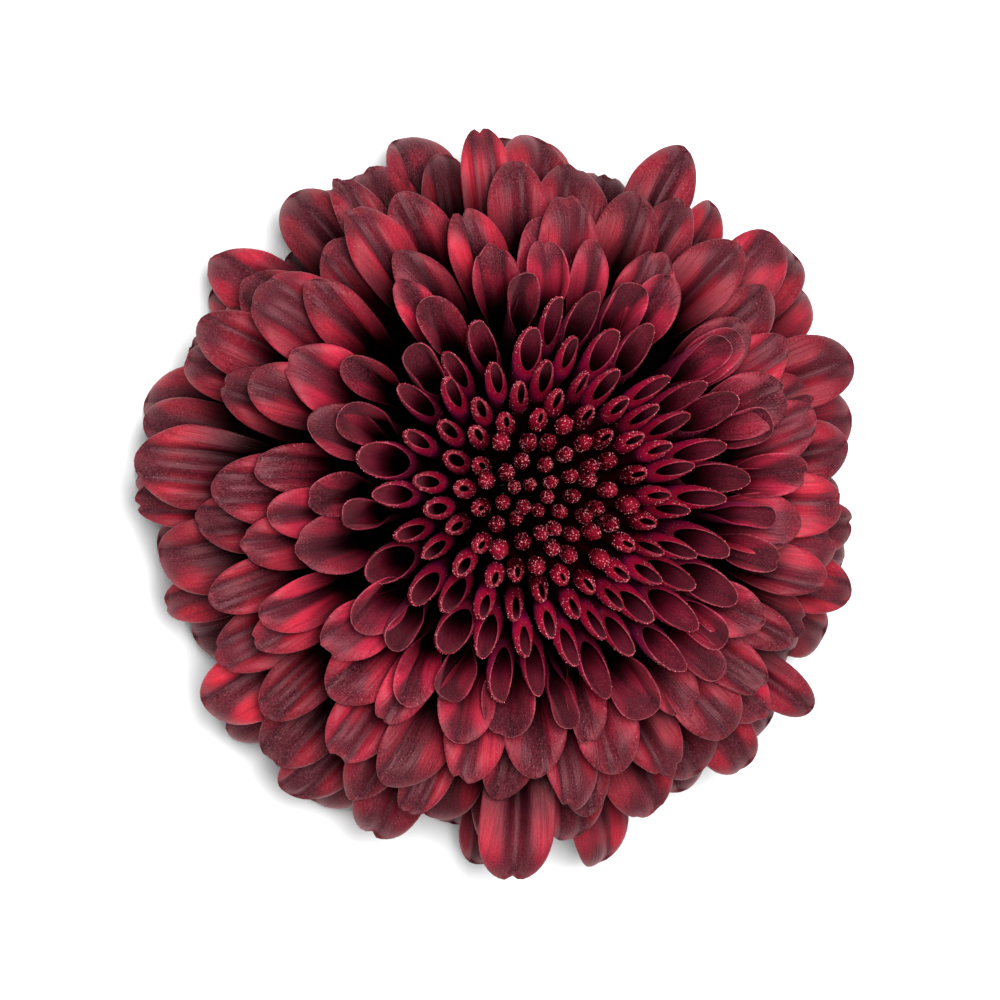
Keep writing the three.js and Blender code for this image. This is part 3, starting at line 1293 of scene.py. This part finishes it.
    def bump(self, height: object, strength: float, distance: float) -> None:
        """Raise the surface by a height.

        Args:
            height: The height.
            strength: How strongly it shows, from 0 to 1.
            distance: The height in metres that 1 stands for.
        """
        node = self.tree.nodes.new("ShaderNodeBump")
        self.wire(node.inputs["Height"], height)
        node.inputs["Strength"].default_value = strength
        node.inputs["Distance"].default_value = distance
        self.wire(self.shader.inputs["Normal"], node.outputs[0])

    def set(self, **values: object) -> None:
        """Set the shader's sockets, named with underscores for spaces."""
        for name, value in values.items():
            self.wire(self.shader.inputs[name.replace("_", " ")], value)


def srgb(red: int, green: int, blue: int) -> Colour:
    """Turn screen values from 0 to 255 into a linear colour.

    Args:
        red: The red value.
        green: The green value.
        blue: The blue value.

    Returns:
        The linear colour.
    """
    values = (channel / 255 for channel in (red, green, blue))
    return tuple(v / 12.92 if v <= 0.04045 else ((v + 0.055) / 1.055) ** 2.4 for v in values)


@dataclass(frozen=True)
class PetalFinish:
    """The velvety dark red of the florets, with veins, creases and pale rims, shade painted into the
    creases, middles, feet and depths of the head, and highlights painted on the rims, margins and specks.
    """

    inner_face: tuple[tuple[float, Colour], ...] = (
        (0.0, srgb(50, 3, 14)),
        (0.22, srgb(60, 8, 24)),
        (0.3, srgb(74, 12, 30)),
        (0.42, srgb(146, 16, 50)),
        (0.58, srgb(158, 15, 44)),
        (0.78, srgb(154, 18, 40)),
        (1.0, srgb(138, 18, 38)),
    )
    outer_face: tuple[tuple[float, Colour], ...] = (
        (0.0, srgb(118, 5, 28)),
        (0.12, srgb(132, 5, 34)),
        (0.2, srgb(140, 6, 68)),
        (0.35, srgb(140, 8, 84)),
        (0.5, srgb(134, 22, 52)),
        (1.0, srgb(140, 44, 60)),
    )
    # Painted shade towards each foot, partly its darker pigment.
    foot_shade: tuple[tuple[float, Colour], ...] = (
        (0.0, (1.0, 1.0, 1.0)),
        (0.2, (0.96, 0.92, 0.96)),
        (0.36, (0.4, 0.24, 0.38)),
        (0.5, (0.06, 0.03, 0.05)),
    )
    streaks: tuple[tuple[float, Colour], ...] = (
        (0.3, (0.6, 0.52, 0.56)),
        (0.7, (1.1, 1.05, 1.05)),
    )
    lip: Colour = srgb(148, 6, 38)
    # Pale pink of the painted highlights on the rims and of the painted glint specks.
    rim: Colour = srgb(206, 112, 122)
    # Dusky colour of the tips and veins, also laid as painted shade down the middle.
    dusk_and_shade: Colour = srgb(50, 8, 20)
    # Near-black painted shade for the creases.
    crease: Colour = srgb(22, 2, 8)
    # Pale grain colour, which also serves as painted sheen.
    pale_grain_and_sheen: Colour = srgb(168, 84, 98)
    # Lighter margin colour: partly the margins' own, partly a painted highlight.
    margin: Colour = srgb(142, 34, 48)
    ember: Colour = srgb(164, 26, 38)

    gloss_tint: Colour = srgb(255, 180, 186)
    sheen_tint: Colour = srgb(222, 116, 128)

    def build(self) -> bpy.types.Material:
        """Return the finish as a material."""
        painter = PetalPainter(self)
        painter.glow()
        painter.shade_the_face()
        painter.set_tones()
        painter.paint_crease_shade()
        painter.pale_grain_and_sheen()
        painter.redden_lips()
        painter.paint_rim_highlights()
        painter.paint_inward_shade()
        return painter.material()


class PetalPainter:
    """Lays the layers of the petals' colour over each other, from the measures that the mesh holds."""

    def __init__(self, finish: PetalFinish) -> None:
        """Read the measures, make the noises and lay the colours of the two faces.

        Args:
            finish: The colours to lay.
        """
        bench = Bench("petal_velvet")
        self.finish, self.bench = finish, bench
        _, across, self.edge = bench.parts_of("place")
        self.age, self.chance, self.inner = bench.parts_of("trait")
        self.below, across_mm, self.depth = bench.parts_of("cloth")
        self.off_middle = bench.math("ABSOLUTE", across)
        own = bench.times(self.chance, 60.0)
        self.veins, self.clouds, self.grain = (
            bench.noise(bench.vector(across_mm, bench.times(self.below, stretch), own), scale, detail)
            for stretch, scale, detail in ((0.06, 2.6, 2.0), (0.4, 0.3, 1.0), (0.5, 10.0, 0.0))
        )
        faces = [bench.ramp(self.age, stops) for stops in (finish.outer_face, finish.inner_face)]
        self.colour = bench.mix(self.inner, *faces)
        self.gloss = self.sheen = None

    def cover(self, amount: object, colour: object) -> None:
        """Lay a colour over what is there, as far as the amount says."""
        self.colour = self.bench.mix(amount, self.colour, colour)

    def glow(self) -> None:
        """Let clouds of a brighter red glow on the open petals."""
        bench = self.bench
        glow = bench.plus(bench.times(self.chance, 0.5), self.clouds)
        glow = bench.times(bench.rise(glow, 0.6, 1.15, 0.0, 0.65), bench.rise(self.age, 0.35, 0.7))
        self.cover(glow, self.finish.ember)

    def shade_the_face(self) -> None:
        """Darken the middle with painted shade and the tip in dusky streaks, tint the margin partly as a
        painted highlight, and stripe the veins.
        """
        bench = self.bench
        # Painted shade down the middle of the face.
        middle = bench.rise(self.off_middle, 0.1, 0.8, 0.42, 0.0)
        tip = bench.rise(self.below, 0.0, 6.0, 0.35, 0.0)
        shade = bench.plus(bench.plus(middle, tip), bench.times(self.veins, 0.6))
        shade = bench.rise(bench.minus(shade, bench.times(self.clouds, 0.7)), 0.02, 0.5, 0.0, 0.9)
        self.cover(bench.times(shade, bench.rise(self.age, 0.25, 0.45)), self.finish.dusk_and_shade)
        # Lighter margins: partly their own colour, partly a painted highlight.
        margin = bench.times(bench.rise(self.edge, 0.2, 1.4, 0.3, 0.0), bench.rise(self.age, 0.35, 0.5))
        self.cover(bench.times(margin, self.inner), self.finish.margin)
        streaks = bench.ramp(self.veins, self.finish.streaks)
        self.colour = bench.mix(1.0, self.colour, streaks, "MULTIPLY")

    def set_tones(self) -> None:
        """Give each open petal its own tone, and lighter and darker clouds."""
        bench = self.bench
        own_tone = bench.rise(bench.math("FRACT", bench.times(self.chance, 7.3)), 0.0, 1.0, 0.52, 1.18)
        patchy = bench.times(own_tone, bench.rise(self.clouds, 0.35, 0.65, 0.65, 1.18))
        opened = bench.rise(self.age, 0.25, 0.45)
        tone = bench.plus(bench.times(opened, patchy), bench.minus(1.0, opened))
        self.colour = bench.dimmed(self.colour, tone)

    def paint_crease_shade(self) -> None:
        """Paint shade nearly black into the creases of the inner face."""
        creased = self.bench.rise(self.bench.number_of("fold"), 0.15, 0.85, 0.0, 0.8)
        self.cover(self.bench.times(creased, self.inner), self.finish.crease)

    def pale_grain_and_sheen(self) -> None:
        """Strew fine pale grains over the petals, more over the open ones, as their grain lightened by
        painted sheen, with sparse pale specks as painted glints.
        """
        bench = self.bench
        grain_and_sheen_amount = bench.rise(self.age, 0.25, 0.5, 0.25, 1.0)
        self.cover(bench.times(bench.rise(self.grain, 0.3, 0.75, 0.0, 0.2), grain_and_sheen_amount), self.finish.pale_grain_and_sheen)
        # Sparse pale specks: painted glints.
        self.cover(bench.times(bench.rise(self.grain, 0.79, 0.85, 0.0, 0.5), grain_and_sheen_amount), self.finish.rim)

    def redden_lips(self) -> None:
        """Redden the outside of the young florets near their mouths."""
        bench = self.bench
        outside = bench.rise(self.inner, 0.5, 0.7, 1.0, 0.0)
        outside = bench.times(outside, bench.rise(self.age, 0.3, 0.45, 1.0, 0.0))
        self.cover(bench.times(bench.rise(self.edge, 0.3, 1.4, 0.9, 0.0), outside), self.finish.lip)

    def paint_rim_highlights(self) -> None:
        """Paint thin pale highlights along the rims, broken here and there and strongest at the outer end.
        """
        bench = self.bench
        near_rim = bench.math("ABSOLUTE", bench.minus(self.inner, 0.5))
        rim = bench.rise(near_rim, 0.05, 0.45, 0.6, 0.0)
        rim = bench.times(rim, bench.rise(self.edge, 0.0, 0.08, 1.0, 0.0))
        prime = bench.rise(self.age, 0.15, 0.36, 0.35, 1.0)
        prime = bench.times(prime, bench.rise(self.age, 0.45, 0.65, 1.0, 0.2))
        broken = bench.rise(self.clouds, 0.35, 0.6, 0.15, 1.0)
        broken = bench.times(broken, bench.rise(self.grain, 0.35, 0.6, 0.3, 1.0))
        outer_end = bench.rise(self.off_middle, 0.4, 1.0, 1.0, 0.2)
        strength = bench.times(bench.times(prime, broken), outer_end)
        self.cover(bench.times(rim, strength), self.finish.rim)

    def paint_inward_shade(self) -> None:
        """Paint shade towards the foot and with depth in the head, where the florets shade each other,
        partly the darker pigment there, and dull the gloss and sheen there too.
        """
        bench = self.bench
        # Painted shade towards each foot, partly its darker pigment.
        towards_foot = bench.math("DIVIDE", self.below, bench.rise(self.age, 0.3, 0.7, 19.0, 28.0))
        foot = bench.ramp(towards_foot, self.finish.foot_shade)
        self.cover(bench.rise(self.age, 0.2, 0.4), bench.mix(1.0, self.colour, foot, "MULTIPLY"))
        # Painted shade with depth below the tips: the deeper, the darker.
        reach = bench.rise(self.age, 0.12, 0.4, 2.2, 11.0)
        reach = bench.times(reach, bench.rise(self.inner, 0.3, 0.6, 1.3, 1.0))
        deep = bench.rise(bench.math("DIVIDE", self.depth, reach), 0.12, 1.0, 1.0, 0.04)
        self.colour = bench.dimmed(self.colour, deep)
        self.gloss = bench.times(bench.rise(self.age, 0.2, 0.6, 0.12, 0.36), deep)
        self.sheen = bench.times(bench.rise(towards_foot, 0.1, 0.35, 0.15, 0.0), deep)

    def material(self) -> bpy.types.Material:
        """Wire the layers to the shader and return the material."""
        bench = self.bench
        bench.bump(bench.plus(self.veins, bench.times(self.grain, 0.14)), 0.7, 0.0002)
        bench.set(
            Base_Color=self.colour,
            Roughness=bench.rise(self.grain, 0.3, 0.7, 0.5, 0.62),
            Specular_IOR_Level=self.gloss,
            Specular_Tint=self.finish.gloss_tint,
            Sheen_Weight=self.sheen,
            Sheen_Roughness=0.5,
            Sheen_Tint=self.finish.sheen_tint,
        )
        return bench.material


@dataclass(frozen=True)
class PapillaFinish:
    """The glistening papillae on the middle florets, with painted glints on a few and painted shade with
    depth in the head.
    """

    skin: tuple[tuple[float, Colour], ...] = (
        (0.0, srgb(112, 4, 28)),
        (0.76, srgb(140, 7, 32)),
        # Near-white papillae: painted glints.
        (0.92, srgb(250, 160, 170)),
    )
    gloss_tint: Colour = srgb(255, 150, 160)

    def build(self) -> bpy.types.Material:
        """Return the finish as a material."""
        bench = Bench("papilla_glisten")
        _, chance, _ = bench.parts_of("trait")
        _, _, depth = bench.parts_of("cloth")
        # Painted shade: the deeper a papilla lies in the head, the darker it is.
        colour = bench.dimmed(bench.ramp(chance, self.skin), bench.rise(depth, 1.0, 5.0, 1.0, 0.1))
        bench.set(Base_Color=colour, Roughness=0.3)
        bench.set(Specular_IOR_Level=0.35, Specular_Tint=self.gloss_tint)
        return bench.material


@dataclass(frozen=True)
class CalyxFinish:
    """The matt green of the calyx and the stem, with pale dry edges."""

    young: Colour = srgb(120, 140, 78)
    deep: Colour = srgb(70, 92, 44)
    dry: Colour = srgb(186, 170, 128)

    def build(self) -> bpy.types.Material:
        """Return the finish as a material."""
        bench = Bench("calyx_green")
        share, _, edge = bench.parts_of("place")
        _, chance, _ = bench.parts_of("trait")
        along_mm, across_mm, _ = bench.parts_of("cloth")
        own = bench.times(chance, 40.0)
        fibres = bench.noise(bench.vector(across_mm, bench.times(along_mm, 0.12), own), 3.2, 3.0)
        grain = bench.noise(bench.vector(across_mm, along_mm, own), 6.0, 2.0)
        tone = bench.plus(bench.times(fibres, 0.8), bench.times(share, 0.3))
        colour = bench.ramp(tone, ((0.25, self.deep), (0.75, self.young)))
        dry = bench.rise(edge, 0.1, 0.55, 0.85, 0.0)
        colour = bench.mix(dry, colour, self.dry)
        bench.bump(bench.plus(fibres, bench.times(grain, 0.5)), 0.6, 0.0002)
        bench.set(Base_Color=colour, Roughness=bench.rise(grain, 0.3, 0.7, 0.5, 0.7), Sheen_Weight=0.2)
        return bench.material


@dataclass(frozen=True)
class FloorFinish:
    """The pale, plain floor."""

    colour: Colour = (0.93, 0.93, 0.93)

    def build(self) -> bpy.types.Material:
        """Return the finish as a material."""
        bench = Bench("pale_floor")
        bench.set(Base_Color=self.colour, Roughness=0.9, Specular_IOR_Level=0.1)
        return bench.material


def make_piece(name: str, patch: Patch, material: bpy.types.Material, node: str) -> None:
    """Turn a patch into a Blender piece that stands for a node of the frame.

    Args:
        name: The piece's name.
        patch: Its mesh, in mm.
        material: Its finish.
        node: The node that it stands for.
    """
    mesh = bpy.data.meshes.new(name)
    mesh.from_pydata((patch.points * MM).tolist(), [], patch.faces.tolist())
    for label in ("place", "trait", "cloth"):
        values = mesh.attributes.new(label, "FLOAT_VECTOR", "POINT")
        values.data.foreach_set("vector", getattr(patch, label).astype(np.float32).ravel())
    fold = mesh.attributes.new("fold", "FLOAT", "POINT")
    fold.data.foreach_set("value", patch.fold.astype(np.float32))
    mesh.shade_smooth()
    mesh.materials.append(material)
    piece = bpy.data.objects.new(name, mesh)
    bpy.context.collection.objects.link(piece)
    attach(piece, "root")
    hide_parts(node)
    LOG.info("%s: %d triangles", name, len(patch.faces))


@dataclass
class Papillae:
    """The fine glistening bumps on the closed buds and on the lips of quills and spoons.

    Args:
        radius: The radius of a bump, in mm.
        height: Its height, in mm.
        seed: The seed of their places.
        on_bud: How many a bud carries.
        on_quill: How many an inner quill carries.
        on_spoon: How many an outer spoon carries.
        band: How far they reach down from a mouth, in mm.
        lean: How far they lean out of the upright, as a share of it.
    """

    radius: float = 0.06
    height: float = 0.11
    seed: int = 5
    on_bud: int = 280
    on_quill: int = 360
    on_spoon: int = 260
    band: float = 1.6
    lean: float = 0.25

    def on(self, floret: Bud | Quill) -> Patch:
        """Scatter papillae over the end of a floret.

        Args:
            floret: The floret.

        Returns:
            Their patch.
        """
        chance = np.random.default_rng(self.seed * 10000 + int(floret.number))
        if isinstance(floret, Bud):
            below = floret.head_length * 1.5 * chance.random(self.on_bud) ** 1.5
            share = np.minimum(1 - below / floret.length, 0.9985)
            turn = chance.uniform(0, FULL_TURN, self.on_bud)
            return self.bumps(floret.skin(share, turn), floret.skin(share, turn, 0.1), floret.age, chance)
        older = float(blend_step(50, 90, floret.number))
        count = round(self.on_quill + (self.on_spoon - self.on_quill) * older)
        across = np.clip(chance.normal(0, 0.5, count), -1.0, 1.0)
        share = floret.near_mouth(self.band * chance.random(count) ** 2, across)
        outside = -floret.thickness(share, across) / 2
        foot = floret.points(share, across, outside)
        return self.bumps(foot, floret.points(share, across, outside - 0.1), floret.age, chance)

    def bumps(
        self, foot: np.ndarray, above: np.ndarray, age: float, chance: np.random.Generator
    ) -> Patch:
        """Build small eight-sided bumps.

        Args:
            foot: Their feet, in mm.
            above: Points right over their feet.
            age: The age of their floret.
            chance: The random generator.

        Returns:
            Their patch.
        """
        count = len(foot)
        out = above - foot
        out /= np.linalg.norm(out, axis=1, keepdims=True)
        out = out + chance.normal(0, self.lean, (count, 3))
        out /= np.linalg.norm(out, axis=1, keepdims=True)
        side = np.cross(out, [0.3, 0.5, 0.81])
        side /= np.linalg.norm(side, axis=1, keepdims=True)
        other = np.cross(out, side)
        size = chance.uniform(0.7, 1.4, (count, 1))
        width, height = self.radius * size, self.height * size
        ring = [foot + side * width, foot + other * width, foot - side * width, foot - other * width]
        points = np.stack([foot - out * width, *ring, foot + out * height], axis=1).reshape(-1, 3)
        lower = [[0, 2, 1], [0, 3, 2], [0, 4, 3], [0, 1, 4]]
        upper = [[5, 1, 2], [5, 2, 3], [5, 3, 4], [5, 4, 1]]
        faces = (np.arange(count) * 6)[:, None, None] + np.array(lower + upper)[None]
        shared = np.stack([np.full(count, age), chance.random(count), np.zeros(count)], axis=-1)
        trait = np.repeat(shared, 6, axis=0)
        blank = np.zeros((count * 6, 3))
        return Patch(points, faces.reshape(-1, 3), blank, trait, blank.copy(), blank[:, 0])


@dataclass
class FlowerHead:
    """All florets of the head, in whorls from the middle outwards."""

    rule: GrowingRule = GrowingRule()
    petal_mesher: SheetMesher = SheetMesher(rows=30, columns=19)
    quill_mesher: SheetMesher = SheetMesher(rows=24, columns=21)
    bud_mesher: TubeMesher = TubeMesher()
    papillae: Papillae = field(default_factory=Papillae)
    blade_whorls: int = 3
    settling_rounds: int = 8

    def mesh(self, floret: Floret) -> Patch:
        """Mesh a floret by its kind."""
        if isinstance(floret, Bud):
            return self.bud_mesher.patch(floret)
        return (self.quill_mesher if isinstance(floret, Quill) else self.petal_mesher).patch(floret)

    def settled(self, floret: Floret, touches: bool) -> Patch:
        """Mesh a floret and bend its tip up until nothing of it is under the surface.

        Args:
            floret: The floret.
            touches: Whether its lowest point has to touch the surface.

        Returns:
            Its patch.
        """
        patch = self.mesh(floret)
        squared = patch.place[:, 0] ** 2
        height = patch.points[:, 2].copy()
        for _ in range(self.settling_rounds):
            lowest = float((height + floret.lift * squared).min())
            if lowest >= 0 and not touches:
                break
            floret.lift -= lowest
        patch.points[:, 2] = height + floret.lift * squared
        patch.cloth[:, 2] = self.rule.depth_of(patch.points)
        return patch

    def build(self) -> None:
        """Grow the head and make its pieces."""
        rule = self.rule
        florets = rule.florets()
        velvet = PetalFinish().build()
        resting = rule.count - rule.resting
        patches = [self.settled(floret, index >= resting) for index, floret in enumerate(florets)]
        whorls = [
            ("closed_buds", 0, rule.first_quill, "centre_florets", "centre_petals"),
            ("rolled_quills", rule.first_quill, rule.first_spoon, "centre_florets", "centre_petals"),
            ("spoon_petals", rule.first_spoon, rule.first_blade, "ray_florets", "ray_petals"),
        ]
        ends = np.linspace(rule.first_blade, rule.count, self.blade_whorls + 1).round().astype(int)
        for whorl, (first, last) in enumerate(zip(ends, ends[1:]), start=1):
            whorls.append((f"blade_petals_{whorl}", first, last, "ray_florets", "ray_petals"))
        for name, first, last, node, slot in whorls:
            make_piece(name, Patch.joined(patches[first:last]), velvet, node)
        glisten = PapillaFinish().build()
        for name, first, last, node, slot in whorls[:3]:
            bumps = Patch.joined([self.papillae.on(floret) for floret in florets[first:last]])
            bumps.cloth[:, 2] = rule.depth_of(bumps.points)
            make_piece(f"papillae_on_{name}", bumps, glisten, node)


def turned_patch(
    profile: Sequence[tuple[float, float]], sides: int, ribs: int = 0, rib: float = 0.0
) -> Patch:
    """Turn a profile round the axis into a closed mesh.

    Args:
        profile: Radius and height in mm, from the bottom to the top, without the points on the axis.
        sides: How many sides it has.
        ribs: How many ribs run along it.
        rib: Their height in mm.

    Returns:
        The patch.
    """
    turn = np.arange(sides) * FULL_TURN / sides
    radius, height = np.array(profile).T
    steps = np.hypot(np.diff(radius, prepend=radius[0]), np.diff(height, prepend=height[0]))
    wide = radius[:, None] + rib * np.cos(ribs * turn)
    up = np.broadcast_to(height[:, None], wide.shape)
    walls = np.stack([wide * np.cos(turn), wide * np.sin(turn), up], axis=-1).reshape(-1, 3)
    along = np.broadcast_to(np.cumsum(steps)[:, None], wide.shape)
    cloth = np.stack([along, turn * radius[:, None], np.zeros_like(wide)], axis=-1).reshape(-1, 3)
    ends = [[0.0, 0.0, height[0]], [0.0, 0.0, height[-1]]]
    points = np.concatenate([walls, ends])
    return Patch(
        points=points,
        faces=ring_faces(len(profile), sides),
        place=np.tile([0.2, 0.0, FAR_FROM_EDGE], (len(points), 1)),
        trait=np.tile([1.0, 0.4, 0.0], (len(points), 1)),
        cloth=np.concatenate([cloth, np.zeros((2, 3))]),
        fold=np.zeros(len(points)),
    )


@dataclass
class Receptacle:
    """The domed cushion that the florets grow from, dark between their roots."""

    radius: float = 10.2
    low: float = 12.6
    rim: float = 14.2
    dome: float = 6.4
    sides: int = 64

    def build(self, material: bpy.types.Material) -> None:
        """Make the dome.

        Args:
            material: Its finish.
        """
        turns = np.radians(np.linspace(0, 84, 10))
        arch = [(self.radius * math.cos(turn), self.rim + self.dome * math.sin(turn)) for turn in turns]
        foot = [(self.radius * 0.7, self.low), (self.radius, self.low + 0.5)]
        make_piece("receptacle", turned_patch(foot + arch, self.sides), material, "ray_florets")


@dataclass
class Calyx:
    """The green cup of overlapping bracts and the short cut stem under it, in mm.

    Args:
        rows: For each row of bracts the reach and height of the tips, the width and the shift round.
        per_row: How many bracts a row has.
        root_radius: How far from the axis the lowest row is rooted.
        root_height: How high it is rooted.
        stem_radius: The radius of the stem.
        stem_end: The height of its cut end.
        stem_top: The height at which it meets the cup.
        cup_profile: Radius and height of the cup, from its foot to its top.
        ribs: How many ribs run down the stem.
        rib: Their height.
    """

    rows: tuple[tuple[float, float, float, float], ...] = (
        (13.2, 12.6, 4.6, 0.0),
        (12.3, 11.6, 4.4, 0.5),
        (11.2, 10.2, 4.0, 0.0),
    )
    per_row: int = 13
    root_radius: float = 5.6
    root_height: float = 5.7
    stem_radius: float = 2.6
    stem_end: float = 1.2
    stem_top: float = 6.6
    cup_profile: tuple[tuple[float, float], ...] = (
        (2.4, 5.4),
        (5.6, 6.0),
        (8.6, 7.9),
        (10.0, 10.4),
        (10.3, 12.4),
        (9.4, 12.9),
    )
    ribs: int = 10
    rib: float = 0.12
    mesher: SheetMesher = SheetMesher(rows=14, columns=9)
    seed: int = 77

    def bracts(self) -> Patch:
        """Grow the rows of bracts, the longest nearest the florets.

        Returns:
            Their patch.
        """
        chance = np.random.default_rng(self.seed)
        patches = []
        for row, (reach, top, width, shift) in enumerate(self.rows):
            root = np.array([self.root_radius - 0.5 * row, 0.0, self.root_height - 0.35 * row])
            for step in range(self.per_row):
                tip = np.array([reach + chance.normal(0, 0.2), 0.0, top + chance.normal(0, 0.25)])
                out = np.array([reach - self.root_radius, 0.0, 0.4])
                place = (step + shift + 0.33 * row) * FULL_TURN / self.per_row
                bract = Bract(
                    spine=np.array([root, root + 0.45 * out, tip - [0.6, 0.0, 3.2], tip]),
                    azimuth=place + chance.normal(0, 0.03),
                    twist=chance.normal(0, 0.06),
                    flat_width=width * chance.uniform(0.92, 1.08),
                    age=1.0,
                    traits=self.traits(chance),
                )
                patches.append(self.mesher.patch(bract))
        return Patch.joined(patches)

    @staticmethod
    def traits(chance: np.random.Generator) -> Traits:
        """Choose the small features of a bract."""
        return Traits(chance=chance.random(), wave=0.12, phase=chance.uniform(0, FULL_TURN))

    def cup(self) -> Patch:
        """Turn the cup that carries the bracts."""
        return turned_patch(self.cup_profile, 52)

    def stem(self) -> Patch:
        """Turn the ribbed stem stub."""
        radius, low, top = self.stem_radius, self.stem_end, self.stem_top
        waist = (radius * 0.97, low + 0.5 * (top - low))
        profile = [(radius * 0.96, low), (radius, low + 0.15), waist, (radius * 1.25, top)]
        return turned_patch(profile, 60, self.ribs, self.rib)

    def build(self, material: bpy.types.Material) -> None:
        """Make the pieces of the calyx.

        Args:
            material: Their finish.
        """
        patches = {"bracts": self.bracts(), "calyx_cup": self.cup(), "stem_stub": self.stem()}
        for name, patch in patches.items():
            make_piece(name, patch, material, "calyx_and_stem")


@dataclass
class Studio:
    """The pale floor, the soft lights and the camera, in metres."""

    floor_size: float = 6.0
    camera_lean: float = 14.0
    camera_roll: float = -7.0
    camera_distance: float = 0.75
    aim: tuple[float, float, float] = (0.0017, 0.001, 0.022)
    view_width: float = 0.1368
    sensor: float = 36.0
    ambient: float = 0.09
    lamps: tuple[tuple[str, tuple[float, float, float], float, float], ...] = (
        ("key_softbox", (0.12, -0.08, 0.85), 0.3, 13.6),
        ("fill_softbox", (-0.1, 0.1, 0.88), 0.8, 1.8),
    )

    def build(self) -> None:
        """Set up the whole studio."""
        self.lay_floor()
        self.hang_lamps()
        self.place_camera()

    def lay_floor(self) -> None:
        """Lay the floor under the flower."""
        half = self.floor_size / 2
        mesh = bpy.data.meshes.new("floor")
        corners = [(-half, -half, 0.0), (half, -half, 0.0), (half, half, 0.0), (-half, half, 0.0)]
        mesh.from_pydata(corners, [], [(0, 1, 2, 3)])
        mesh.materials.append(FloorFinish().build())
        floor = bpy.data.objects.new("floor", mesh)
        bpy.context.collection.objects.link(floor)

    def hang_lamps(self) -> None:
        """Light the world softly and hang the softboxes."""
        world = bpy.data.worlds.new("studio_air")
        world.use_nodes = True
        background = world.node_tree.nodes["Background"]
        background.inputs["Color"].default_value = (1.0, 1.0, 1.0, 1.0)
        background.inputs["Strength"].default_value = self.ambient
        bpy.context.scene.world = world
        for name, place, size, power in self.lamps:
            light = bpy.data.lights.new(name, "AREA")
            light.size = size
            light.energy = power
            lamp = bpy.data.objects.new(name, light)
            lamp.location = place
            towards = Vector(self.aim) - Vector(place)
            lamp.rotation_euler = towards.to_track_quat("-Z", "Y").to_euler()
            bpy.context.collection.objects.link(lamp)

    def place_camera(self) -> None:
        """Look down on the flower from the photograph's angle."""
        lean, roll = math.radians(self.camera_lean), math.radians(self.camera_roll)
        back = Vector((math.sin(lean), 0.0, math.cos(lean)))
        axis_seen = (Vector((0.0, 0.0, 1.0)) - back * back.z).normalized()
        right = axis_seen * math.cos(roll) - back.cross(axis_seen) * math.sin(roll)
        up = back.cross(right)
        camera = bpy.data.cameras.new("camera")
        camera.sensor_width = self.sensor
        camera.lens = self.sensor * self.camera_distance / self.view_width
        stand = bpy.data.objects.new("camera", camera)
        turn = Matrix((right, up, back)).transposed().to_4x4()
        stand.matrix_world = Matrix.Translation(Vector(self.aim) + back * self.camera_distance) @ turn
        bpy.context.collection.objects.link(stand)
        bpy.context.scene.camera = stand
        bpy.context.scene.view_settings.view_transform = "Standard"


def main() -> None:
    """Build the studio and the flower, part by part."""
    logging.basicConfig(level=logging.INFO, format="%(message)s")
    Studio().build()
    FlowerHead().build()
    green = CalyxFinish().build()
    Receptacle().build(green)
    Calyx().build(green)


if __name__ == "__main__":
    main()
